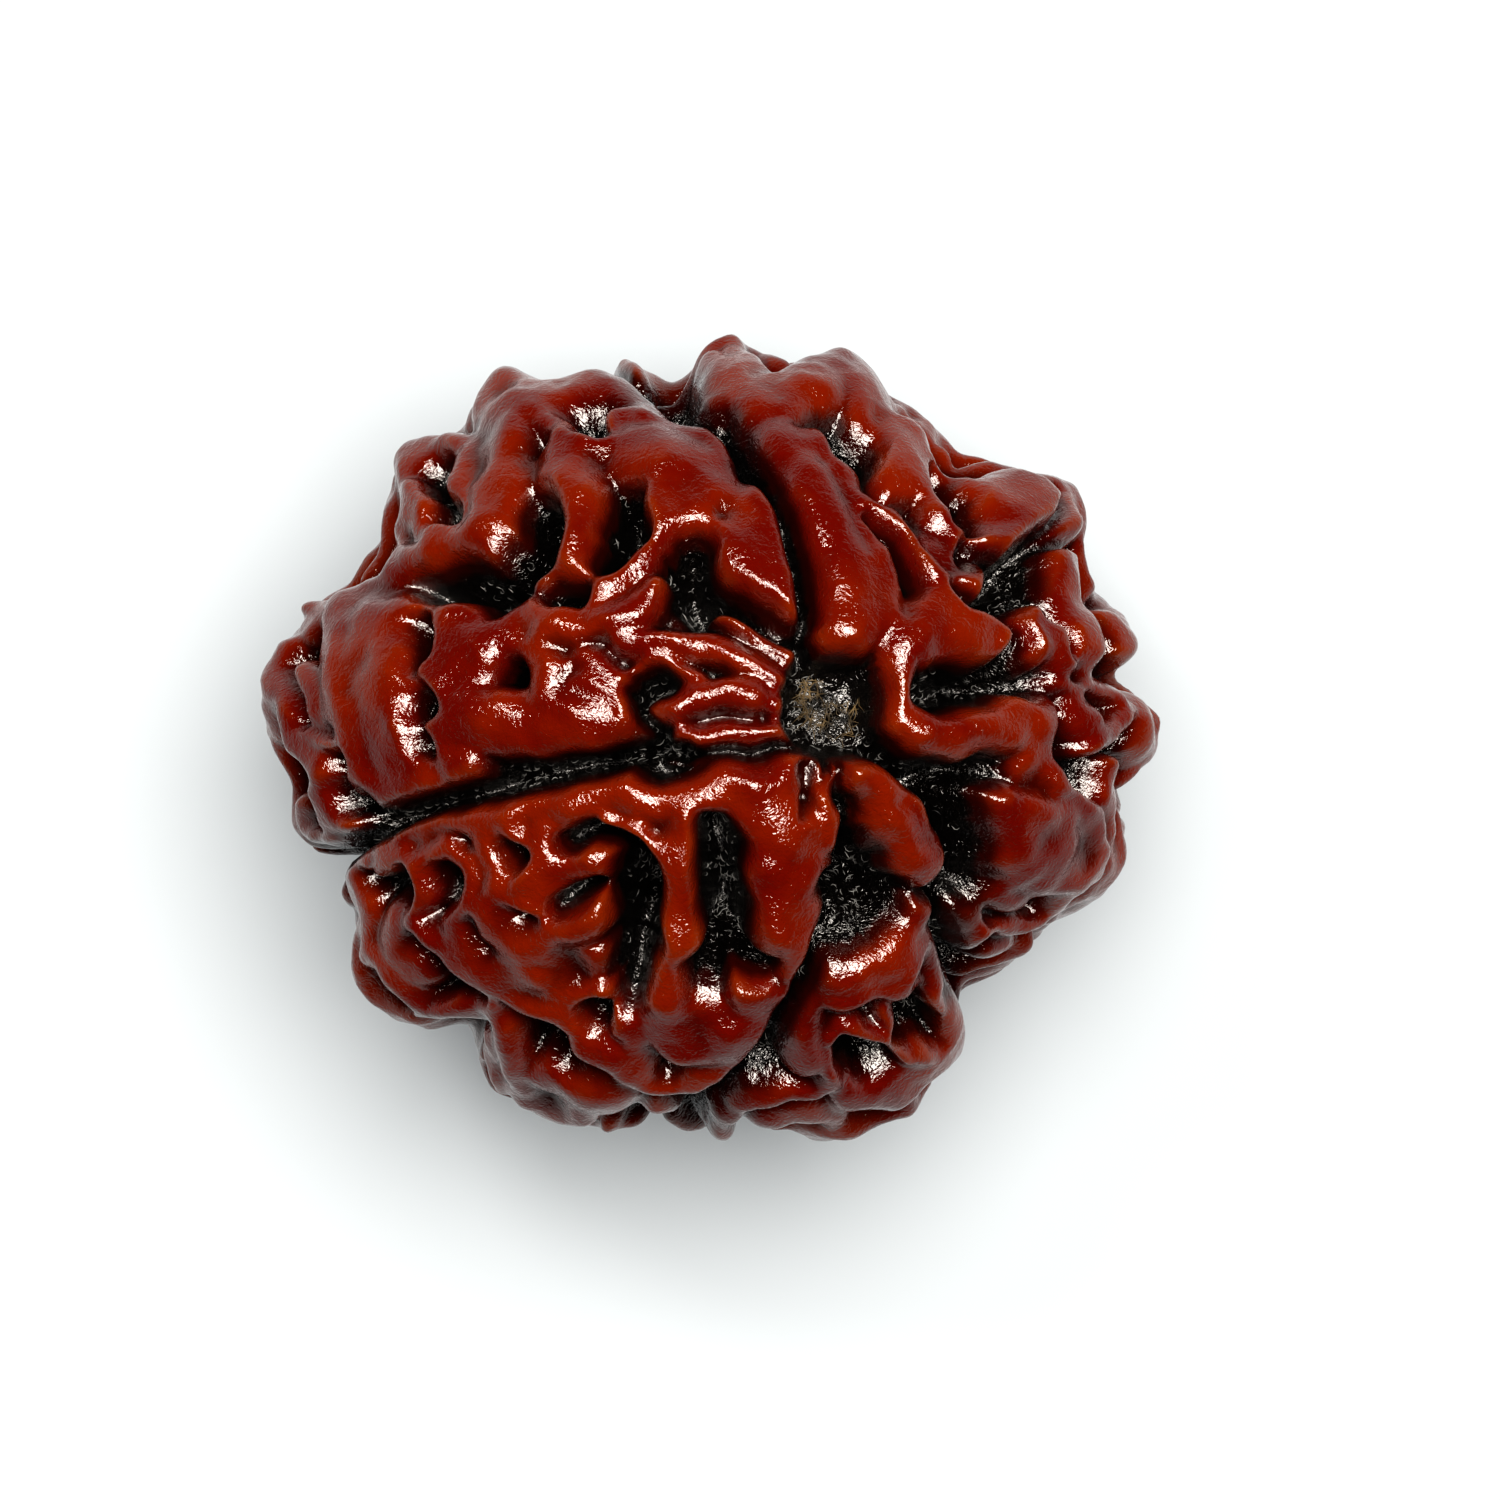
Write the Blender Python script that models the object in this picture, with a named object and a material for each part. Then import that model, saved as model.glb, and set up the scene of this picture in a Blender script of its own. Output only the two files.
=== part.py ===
"""A four mukhi rudraksha bead: one seed stone, with its net of ridges, its pits and its four clefts.

The ridges, pits and clefts of the upper side are strokes drawn in plan view, in millimetres from
the middle of the bead, +X to the right and +Y away. Each is laid on the crest surface, a rounded
body that the tops of the ridges touch. The hidden side carries a seeded net of the same character.
"""

import math

import bpy
import numpy as np

# Driving dimensions of the bead, in millimetres
LENGTH = 22.5
WIDTH = 20.2
HEIGHT = 18.6
RELIEF_DEPTH = 1.15
FOOT_RADIUS = 2.7
FOOT_KNOB_RADIUS = 2.1

# Share of a height difference that counts in a stroke's width: near the rim, where the surface is
# steep, strokes reach further down the side and keep their width as seen from above
STEEPNESS_SHARE = 0.45

# How the ridges are rounded and how they run together
RIDGE_SPREAD = 1.5
RIDGE_FULLNESS = 0.38
RIDGE_BLEND = 0.14
VALLEY_ROUGHNESS = 0.16
CREST_UNEVENNESS = 0.06
PIT_DEEPENING = 1.3
CLEFT_DEPTH = 1.0
CLEFT_SLOPE = 0.3

# The net of ridges on the hidden side: seed, wavelength and half width of each set of lines
HIDDEN_NET = [(3, 6.4, 0.34), (8, 5.6, 0.30), (21, 7.4, 0.26)]
NET_WANDER = 0.22

# How far the edges of the drawn strokes wander
EDGE_WANDER = 0.085

# The mesh: a fine sphere takes the relief, and is then thinned to this many triangles
SPHERE_SUBDIVISIONS = 7
SOFTENING_ROUNDS = 2
TRIANGLE_LIMIT = 11600

MILLIMETRE = 0.001
HALF_HEIGHT = HEIGHT / 2
NODE_NAME = "rudraksha_bead"

# Outline of the bead seen from above, anticlockwise from +X
OUTLINE = [
    (11.2, 0.7), (10.5, 1.45), (10.05, 1.8), (10.75, 2.3), (10.6, 2.9), (10.1, 3.5), (9.6, 3.6),
    (9.4, 4.5), (9.3, 5.0), (9.5, 5.7), (9.0, 6.4), (8.1, 6.75), (7.0, 7.0), (6.1, 7.1), (5.5, 7.7),
    (5.0, 8.3), (4.3, 8.7), (4.0, 9.4), (3.1, 9.8), (2.2, 9.75), (1.6, 9.5), (0.9, 10.0),
    (0.3, 10.1), (-0.3, 9.9), (-0.7, 9.2), (-1.1, 8.9), (-1.35, 9.2), (-2.0, 9.75), (-2.8, 9.75),
    (-3.6, 9.6), (-4.5, 9.2), (-5.3, 9.5), (-5.9, 8.9), (-6.1, 8.0), (-6.9, 7.85), (-7.6, 7.35),
    (-7.95, 7.0), (-7.95, 6.2), (-8.2, 5.4), (-8.3, 4.8), (-9.1, 4.05), (-9.9, 3.75), (-10.5, 3.0),
    (-11.0, 2.2), (-11.3, 0.9), (-11.0, 0.2), (-10.7, -1.0), (-10.6, -2.0), (-10.4, -2.8),
    (-9.5, -2.95), (-9.75, -3.4), (-9.3, -4.0), (-9.0, -4.6), (-9.1, -5.6), (-8.7, -6.25),
    (-8.1, -6.85), (-7.0, -7.1), (-6.0, -6.9), (-5.9, -7.8), (-5.5, -8.7), (-4.6, -9.0),
    (-3.6, -9.5), (-2.4, -9.7), (-1.3, -9.75), (0.1, -10.1), (1.2, -9.95), (1.9, -9.65),
    (3.7, -9.5), (4.8, -9.1), (6.0, -8.15), (6.6, -7.4), (6.5, -6.3), (6.5, -6.0), (7.1, -5.6),
    (7.8, -5.0), (8.6, -4.3), (9.7, -3.85), (10.15, -3.3), (10.25, -2.4), (10.5, -1.6),
    (10.4, -1.0), (11.0, 0.0),
]

# The stalk end, where the four clefts meet, and the point opposite it on the hidden side
STALK_END = (3.2, 1.0)

# Clefts of the upper side, from beside the stalk end to the rim: half width and points
CLEFTS = [
    (0.22, [(-0.7, -0.2), (-1.5, -0.1), (-2.0, -0.2), (-3.0, -0.5), (-4.0, -0.8), (-5.0, -1.05),
            (-6.0, -1.2), (-7.0, -1.45), (-7.8, -1.7), (-8.5, -2.1), (-9.0, -2.4),
            (-9.6, -2.85)]),
    (0.24, [(2.45, 3.2), (2.4, 4.2), (2.2, 5.0), (1.9, 6.0), (1.5, 6.7), (1.1, 7.3),
            (0.7, 7.8), (0.2, 8.3), (-0.3, 8.6), (-1.1, 8.9)]),
    (0.26, [(3.6, -2.4), (3.65, -3.3), (3.35, -4.1), (2.95, -4.9),
            (2.65, -5.6), (2.35, -6.3), (1.95, -6.9), (1.6, -7.5), (1.15, -8.1), (0.5, -8.65),
            (0.0, -8.95), (-0.4, -9.3)]),
    (0.30, [(4.6, -0.2), (5.2, -0.7), (5.8, -1.2), (6.3, -2.2), (6.5, -3.0), (6.2, -3.8),
            (6.0, -4.5), (6.2, -5.2), (6.55, -5.95)]),
]

# Where each cleft leaves the upper side, so that it can run on below to the other end
CLEFT_RIMS = [(-10.0, -2.95), (-1.2, 9.2), (-0.4, -9.7), (6.9, -6.2)]

# Ridges of the upper side: half width, height of the crest, and points
UPPER_LEFT_RIDGES = [
    (0.40, 0.05, [(-9.4, 3.5), (-9.45, 2.5), (-9.4, 1.3), (-9.15, 0.5), (-9.1, -0.3), (-8.95, -0.9),
                  (-8.5, -1.2), (-7.8, -1.2), (-7.0, -1.0), (-6.3, -0.65)]),
    (0.95, 0.0, [(-8.5, 3.0), (-8.55, 2.2), (-8.4, 1.3), (-8.3, 0.4), (-8.0, -0.4)]),
    (0.40, 0.0, [(-9.3, 3.7), (-8.8, 4.1), (-8.2, 4.5), (-7.5, 4.75), (-6.8, 4.95), (-6.1, 5.3),
                 (-5.6, 5.7)]),
    (0.60, 0.0, [(-5.6, 5.5), (-5.4, 6.6), (-5.4, 7.5), (-5.0, 8.3), (-4.3, 8.7)]),
    (0.35, -0.1, [(-8.0, 4.8), (-6.9, 5.15), (-6.45, 5.9), (-6.4, 6.5), (-6.4, 7.1), (-6.1, 7.8),
                  (-5.3, 8.4), (-4.5, 8.95)]),
    (0.40, 0.0, [(-5.9, 8.4), (-5.7, 9.1), (-5.2, 9.4), (-4.6, 9.1)]),
    (0.35, 0.0, [(-6.5, 7.75), (-7.2, 7.55), (-7.75, 7.1), (-7.75, 6.4), (-7.6, 6.0), (-7.3, 5.55),
                 (-7.0, 5.4)]),
    (0.42, -0.1, [(-7.65, 6.2), (-7.5, 5.9)]),
    (0.34, -0.1, [(-8.0, 5.6), (-8.1, 5.0)]),
    (0.30, -0.05, [(-8.5, 3.4), (-8.0, 3.5), (-7.3, 3.55), (-6.7, 3.6)]),
    (0.38, 0.05, [(-6.0, 3.4), (-6.5, 3.4), (-6.8, 3.1), (-6.95, 2.6), (-7.1, 2.1), (-7.15, 1.7),
                  (-6.9, 1.2), (-6.75, 0.8), (-6.8, 0.3), (-6.8, -0.1), (-6.5, -0.5), (-6.2, -0.6)]),
    (0.26, -0.2, [(-8.0, 1.7), (-7.2, 1.75)]),
    (0.26, -0.15, [(-7.9, 0.4), (-7.0, 0.45)]),
    (0.60, -0.15, [(-7.9, -0.6), (-7.3, -0.6)]),
    (0.28, 0.1, [(-10.7, 2.5), (-10.75, 1.9), (-10.7, 1.3), (-10.55, 0.7), (-10.45, 0.0),
                 (-10.0, -0.5), (-9.8, -0.8), (-9.9, -1.3), (-9.8, -1.9), (-9.3, -2.1)]),
    (0.22, 0.0, [(-10.3, 0.2), (-9.9, 0.05), (-9.4, -0.05), (-9.15, -0.2)]),
    (0.40, -0.2, [(-10.2, 2.9), (-9.8, 3.5)]),
    (0.30, 0.0, [(-10.5, -1.5), (-10.4, -2.2), (-10.0, -2.4), (-9.6, -2.5)]),
    (0.30, 0.0, [(-11.1, 1.6), (-11.1, 0.9), (-10.9, 0.2)]),
    (0.30, -0.1, [(-10.2, 1.9), (-10.0, 1.2), (-9.9, 0.6)]),
    (0.65, 0.05, [(-6.3, 2.5), (-6.1, 2.2), (-6.3, 1.6)]),
    (0.50, 0.0, [(-6.1, 2.9), (-5.4, 2.9), (-4.9, 2.8)]),
    (0.55, 0.05, [(-6.3, 1.0), (-6.2, 0.3), (-5.3, 0.25), (-4.3, 0.35), (-3.3, 0.5), (-2.4, 0.45)]),
    (0.45, 0.0, [(-5.9, 0.9), (-5.0, 0.9), (-4.0, 1.0), (-3.1, 1.05)]),
    (0.22, 0.0, [(-3.4, 1.6), (-2.9, 1.5), (-2.4, 1.1), (-2.1, 0.7)]),
    (0.42, 0.05, [(-4.4, 2.5), (-4.1, 1.9), (-4.2, 1.3)]),
    (0.36, 0.0, [(-3.4, 2.2), (-2.8, 1.85), (-2.35, 1.65)]),
    (0.36, 0.1, [(-1.5, 3.9), (-1.9, 3.4), (-2.8, 3.05), (-3.7, 2.95), (-4.2, 2.8)]),
    (0.42, -0.05, [(-1.6, 6.2), (-1.6, 5.4), (-1.8, 4.9), (-2.3, 4.4), (-2.8, 3.9), (-3.6, 3.4),
                   (-4.3, 3.3), (-4.9, 3.5)]),
    (0.72, 0.05, [(-3.7, 7.0), (-3.55, 6.2)]),
    (0.50, 0.05, [(-3.6, 6.2), (-3.5, 5.4), (-3.5, 4.6)]),
    (0.30, -0.15, [(-3.7, 4.6), (-4.3, 4.4), (-4.9, 4.0)]),
    (0.55, 0.0, [(-4.3, 8.9), (-3.6, 9.1), (-2.8, 9.2), (-2.0, 9.1), (-1.6, 8.8), (-1.4, 8.5)]),
    (0.28, 0.0, [(-4.2, 8.3), (-3.9, 8.0), (-3.8, 7.7), (-3.4, 7.5), (-2.9, 7.5), (-2.7, 7.7),
                 (-2.6, 8.0), (-2.3, 8.3), (-2.0, 8.4), (-1.4, 8.2), (-0.9, 8.2), (-0.1, 8.0),
                 (0.2, 7.7)]),
    (0.85, 0.1, [(-1.3, 7.3), (-0.9, 6.7), (-0.9, 6.0)]),
    (0.70, 0.05, [(-1.9, 7.4), (-0.9, 7.4), (-0.1, 7.1), (0.0, 6.6)]),
    (0.20, -0.2, [(-0.9, 8.5), (-0.5, 8.75), (-0.1, 8.55)]),
    (0.55, 0.15, [(1.3, 6.2), (1.1, 5.6), (0.9, 5.1), (1.3, 4.6), (1.7, 4.2)]),
    (0.50, 0.1, [(0.2, 5.1), (0.5, 4.7), (1.0, 4.4), (1.6, 3.9), (2.0, 3.4)]),
    (0.40, 0.0, [(1.5, 5.9), (1.7, 5.2), (1.9, 4.4), (2.05, 3.6)]),
    (0.22, -0.25, [(0.2, 3.35), (0.9, 3.0), (1.5, 2.5), (1.9, 2.2)]),
    (0.34, -0.05, [(-2.4, 2.7), (-1.4, 2.6), (-0.6, 2.6), (0.4, 2.4), (1.1, 2.0), (1.6, 1.6)]),
    (0.22, -0.05, [(-1.8, 1.9), (-1.6, 2.15), (-1.2, 2.15), (-0.8, 2.0), (-0.4, 1.75)]),
    (0.40, 0.1, [(-0.9, 0.9), (-0.5, 1.1), (0.2, 1.25), (0.9, 1.2)]),
    (0.24, -0.05, [(-1.4, 0.7), (-0.9, 0.8)]),
    (0.24, 0.0, [(0.9, 1.2), (1.4, 1.1), (1.7, 1.0)]),
]
UPPER_RIGHT_RIDGES = [
    (0.50, 0.1, [(1.6, 7.8), (2.2, 7.1), (2.7, 6.2)]),
    (0.64, 0.18, [(2.6, 6.3), (3.05, 5.2), (3.35, 4.2), (3.5, 3.4), (3.45, 3.0)]),
    (0.30, 0.0, [(1.7, 7.9), (2.5, 7.7), (3.0, 7.4), (3.35, 6.8), (3.6, 6.2), (3.9, 5.4),
                 (4.2, 4.8)]),
    (0.50, 0.0, [(4.1, 4.5), (4.3, 3.8), (4.3, 3.3)]),
    (0.45, 0.0, [(0.0, 9.6), (0.2, 9.0)]),
    (0.34, 0.0, [(0.7, 9.5), (0.7, 8.9)]),
    (0.30, 0.0, [(0.6, 9.9), (1.2, 9.5)]),
    (0.68, 0.15, [(1.4, 8.75), (2.2, 9.1), (3.2, 9.25), (3.9, 8.9), (4.1, 8.5)]),
    (0.66, 0.2, [(4.9, 7.55), (4.85, 6.85)]),
    (0.26, 0.0, [(4.3, 8.2), (4.9, 7.95), (5.2, 7.7), (5.5, 7.3), (5.55, 6.8), (5.5, 6.2),
                 (5.7, 5.9), (6.1, 5.6), (6.3, 5.3)]),
    (0.28, 0.05, [(3.9, 6.0), (4.3, 5.8), (4.7, 5.4), (5.0, 5.1), (5.2, 4.6), (5.5, 4.3),
                  (5.9, 4.05), (6.4, 3.5), (6.7, 3.2), (7.1, 3.0), (7.4, 2.8), (7.55, 2.5),
                  (7.3, 2.15)]),
    (0.50, -0.3, [(5.6, 5.2), (6.1, 4.8)]),
    (0.70, 0.25, [(7.5, 6.25), (7.95, 6.05)]),
    (0.26, 0.05, [(6.6, 6.1), (7.2, 6.5), (7.9, 6.7), (8.3, 6.4), (8.35, 5.9), (8.1, 5.5),
                  (7.5, 5.1)]),
    (0.45, -0.1, [(6.8, 5.2), (7.4, 5.4)]),
    (0.42, -0.1, [(6.5, 4.1), (6.9, 4.1)]),
    (0.30, 0.0, [(5.7, 7.0), (6.2, 6.7), (6.6, 6.5), (7.1, 6.6), (7.6, 6.7)]),
    (0.50, 0.0, [(8.9, 6.1), (8.9, 5.5)]),
    (0.42, 0.05, [(9.0, 4.9), (9.1, 4.3), (9.2, 3.7), (9.3, 3.0), (9.4, 2.4)]),
    (0.50, 0.05, [(7.9, 2.9), (8.1, 2.5)]),
    (0.28, 0.05, [(8.1, 3.4), (8.4, 3.1), (8.6, 2.7), (8.9, 2.1)]),
    (0.34, 0.0, [(10.1, 3.2), (10.5, 2.7), (10.4, 2.3)]),
    (0.46, 0.05, [(4.9, 2.6), (5.8, 2.75), (6.6, 2.7), (7.2, 2.6)]),
    (0.55, 0.05, [(5.9, 3.6), (5.6, 3.2), (6.3, 3.1)]),
]
RIGHT_RIDGES = [
    (0.34, 0.1, [(5.2, 2.4), (4.8, 2.3), (4.75, 1.8), (4.75, 1.2), (4.85, 0.6), (5.2, 0.3)]),
    (0.55, 0.1, [(5.3, 0.3), (6.2, 0.25), (7.2, 0.45), (8.0, 0.5)]),
    (0.45, 0.0, [(7.8, 0.9), (8.3, 0.8), (8.2, 0.0), (8.2, -0.5)]),
    (0.28, 0.0, [(9.6, 1.7), (10.2, 1.3), (10.4, 0.9), (10.1, 0.5), (9.8, 0.1), (9.5, -0.05)]),
    (0.40, -0.1, [(9.3, 1.0), (9.5, 0.6)]),
    (0.36, 0.0, [(10.7, 1.0), (10.9, 0.4), (10.7, -0.1)]),
    (0.28, -0.1, [(8.9, 1.5), (9.4, 1.45)]),
    (0.90, 0.05, [(8.1, -2.2), (8.8, -2.3), (8.5, -2.8)]),
    (0.55, 0.0, [(7.4, -1.6), (7.9, -2.6), (7.6, -3.2)]),
    (0.32, 0.1, [(8.6, -0.8), (9.0, -1.2), (9.4, -1.6), (9.6, -2.1), (9.65, -2.6), (9.4, -3.1),
                 (9.0, -3.4), (8.3, -3.55)]),
    (0.34, 0.1, [(7.3, -1.3), (7.6, -1.5), (8.2, -1.7), (8.8, -1.8)]),
    (0.28, -0.1, [(10.1, -1.3), (10.15, -2.0), (10.1, -2.8), (9.9, -3.5), (9.2, -4.0), (8.8, -4.3)]),
    (0.30, -0.1, [(10.2, -0.6), (10.1, -1.4)]),
    (0.26, 0.0, [(6.5, -5.5), (6.8, -5.2), (7.0, -4.9), (7.8, -4.7), (8.4, -4.5), (8.7, -4.2),
                 (8.9, -3.8)]),
    (0.45, -0.2, [(6.8, -4.3), (6.7, -4.8)]),
    (0.35, 0.0, [(7.3, -5.5), (7.8, -5.2)]),
    (0.30, -0.2, [(7.3, -3.9), (8.0, -4.1)]),
]
LOWER_RIGHT_RIDGES = [
    (0.40, 0.05, [(3.6, -0.75), (4.2, -0.9), (4.6, -1.2)]),
    (0.56, 0.05, [(4.5, -1.3), (4.8, -1.9), (5.05, -2.4), (5.25, -3.0)]),
    (0.40, -0.35, [(3.7, -1.0), (3.85, -1.7), (4.0, -2.4)]),
    (0.24, -0.05, [(5.2, -1.4), (5.6, -2.0), (6.0, -2.5), (5.8, -3.1), (5.4, -3.5)]),
    (0.42, 0.0, [(2.95, -6.05), (3.6, -5.95), (4.5, -5.6), (5.1, -5.0), (5.4, -4.4)]),
    (0.26, 0.0, [(3.1, -6.6), (4.1, -6.3), (4.8, -6.0), (5.3, -5.3), (5.7, -4.8)]),
    (0.40, 0.0, [(5.9, -5.2), (5.8, -6.1)]),
    (0.26, 0.0, [(5.9, -4.9), (6.3, -5.7), (6.4, -6.2)]),
    (0.26, 0.0, [(5.0, -6.15), (5.6, -6.6), (6.3, -6.75)]),
    (0.22, -0.1, [(4.8, -6.2), (4.6, -6.7), (4.4, -7.2)]),
    (0.22, 0.0, [(3.1, -7.5), (3.3, -7.1), (3.7, -7.15), (4.2, -7.35), (4.6, -7.5), (4.9, -7.9),
                 (5.4, -7.7)]),
    (0.50, 0.05, [(3.6, -8.8), (4.6, -8.7), (5.4, -8.1), (6.1, -7.5), (6.2, -7.0)]),
    (0.48, 0.0, [(2.4, -6.7), (2.35, -7.4), (2.35, -8.1)]),
    (0.24, 0.0, [(0.5, -9.6), (0.6, -9.3), (1.0, -9.1), (1.9, -8.9), (2.7, -8.8), (3.0, -8.5),
                 (3.1, -8.0), (3.15, -7.5)]),
    (0.35, 0.0, [(1.2, -9.6), (2.2, -9.4), (3.2, -9.4)]),
]
LOWER_LEFT_RIDGES = [
    (0.45, 0.05, [(-5.2, -1.6), (-4.2, -1.45), (-3.2, -1.35), (-2.2, -1.15), (-1.4, -1.5),
                  (-0.6, -1.3), (0.4, -1.05), (1.4, -0.95), (2.1, -0.85)]),
    (0.30, 0.05, [(-0.7, 0.2), (0.1, 0.2), (1.0, 0.25), (1.8, 0.35)]),
    (0.34, -0.4, [(-0.8, -0.2), (0.0, -0.25), (1.0, -0.25), (2.0, -0.2)]),
    (0.40, 0.1, [(-0.7, -1.9), (-0.8, -3.0), (-0.8, -4.0), (-0.75, -4.8), (-0.9, -5.5),
                 (-1.15, -6.2)]),
    (0.26, -0.05, [(-2.7, -1.9), (-1.9, -2.1), (-1.4, -2.5), (-1.25, -3.0), (-1.35, -3.5),
                   (-1.15, -3.9), (-1.1, -4.6), (-1.1, -5.3), (-1.4, -5.8), (-1.6, -6.4)]),
    (0.60, 0.1, [(1.0, -1.5), (1.7, -1.8), (2.2, -2.3)]),
    (0.85, 0.15, [(1.7, -2.4), (2.1, -3.3), (2.0, -4.2), (2.0, -4.8)]),
    (0.40, 0.05, [(2.0, -4.9), (2.15, -5.4), (2.25, -5.8)]),
    (0.28, 0.05, [(2.85, -1.2), (2.95, -1.8), (3.0, -2.4)]),
    (0.52, 0.1, [(-1.3, -6.4), (-1.2, -7.1), (-0.6, -7.7), (0.2, -7.75), (0.9, -7.2),
                 (1.25, -6.5)]),
    (0.60, -0.05, [(-0.6, -6.9), (0.1, -7.0)]),
    (0.28, 0.05, [(0.6, -6.1), (1.1, -6.3), (1.5, -6.2)]),
    (0.34, 0.1, [(-8.4, -3.0), (-7.9, -2.9), (-7.5, -3.1), (-7.35, -3.6), (-7.5, -4.2),
                 (-7.4, -4.6), (-7.0, -4.8), (-6.6, -5.1), (-6.3, -5.5), (-5.9, -5.9),
                 (-5.3, -6.1), (-4.4, -6.6), (-3.8, -6.8), (-3.5, -7.2), (-3.2, -7.5),
                 (-2.7, -7.7), (-2.3, -8.1), (-1.6, -8.6), (-1.0, -8.75), (-0.5, -8.65),
                 (0.5, -8.35), (1.0, -7.95), (1.4, -7.4), (2.0, -6.5)]),
    (0.32, 0.05, [(-9.2, -2.9), (-8.5, -2.55), (-7.8, -2.3), (-7.0, -2.0), (-6.2, -1.85),
                  (-5.2, -1.7)]),
    (0.32, 0.05, [(-9.4, -3.1), (-9.3, -3.5), (-9.0, -4.0), (-8.8, -4.6), (-8.6, -5.1),
                  (-8.2, -5.5), (-7.8, -5.9), (-7.5, -6.2), (-7.2, -6.6), (-6.7, -6.75),
                  (-6.1, -6.7), (-5.6, -6.5)]),
    (0.30, 0.05, [(-7.3, -2.8), (-6.8, -2.65), (-6.3, -2.9), (-6.1, -3.4), (-6.15, -3.9),
                  (-6.5, -4.3), (-6.3, -4.9), (-5.8, -5.5), (-5.2, -5.75), (-4.4, -5.8)]),
    (0.24, 0.0, [(-5.5, -1.9), (-5.0, -2.2), (-4.7, -2.6), (-4.65, -3.0), (-4.8, -3.5)]),
    (0.45, 0.05, [(-5.7, -2.2), (-5.7, -2.8), (-5.4, -3.3)]),
    (0.24, 0.0, [(-5.4, -3.5), (-5.0, -3.8), (-4.6, -4.0), (-4.3, -4.1)]),
    (0.50, 0.0, [(-4.2, -2.2), (-4.25, -3.0), (-4.25, -3.6)]),
    (0.55, -0.1, [(-4.0, -3.0), (-3.3, -2.95), (-2.7, -3.0)]),
    (0.45, 0.1, [(-5.6, -4.0), (-5.4, -4.6), (-4.9, -5.0), (-4.3, -4.9), (-3.8, -4.6),
                 (-3.3, -4.4), (-2.9, -4.2)]),
    (0.55, -0.3, [(-3.6, -5.3), (-3.1, -5.5)]),
    (0.24, -0.05, [(-3.6, -6.5), (-3.3, -6.2), (-2.9, -6.15), (-2.45, -6.45), (-2.3, -6.9),
                   (-2.4, -7.2)]),
    (0.36, -0.05, [(-2.0, -7.0), (-2.0, -7.7), (-1.7, -8.2)]),
    (0.50, -0.05, [(-5.0, -5.4), (-4.2, -5.6), (-3.9, -6.1)]),
    (0.50, -0.05, [(-8.1, -4.6), (-7.9, -5.1), (-7.3, -5.6)]),
    (0.26, 0.0, [(-9.6, -3.4), (-9.1, -4.3), (-9.0, -5.0)]),
    (0.32, 0.0, [(-9.0, -5.2), (-8.9, -5.9), (-8.5, -6.5), (-8.0, -6.8), (-7.3, -6.95)]),
    (0.36, 0.05, [(-5.6, -6.8), (-5.3, -7.2), (-5.1, -7.8), (-4.9, -8.4), (-4.6, -8.8),
                  (-4.1, -9.1), (-3.2, -9.3)]),
    (0.60, 0.0, [(-4.0, -8.4), (-3.4, -8.8), (-2.6, -9.0)]),
    (0.26, -0.05, [(-5.75, -7.4), (-5.6, -8.0), (-5.3, -8.6)]),
    (0.30, 0.0, [(-1.5, -9.3), (-1.0, -9.5)]),
    (0.35, 0.0, [(0.2, -9.6), (0.1, -9.9)]),
]

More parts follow.
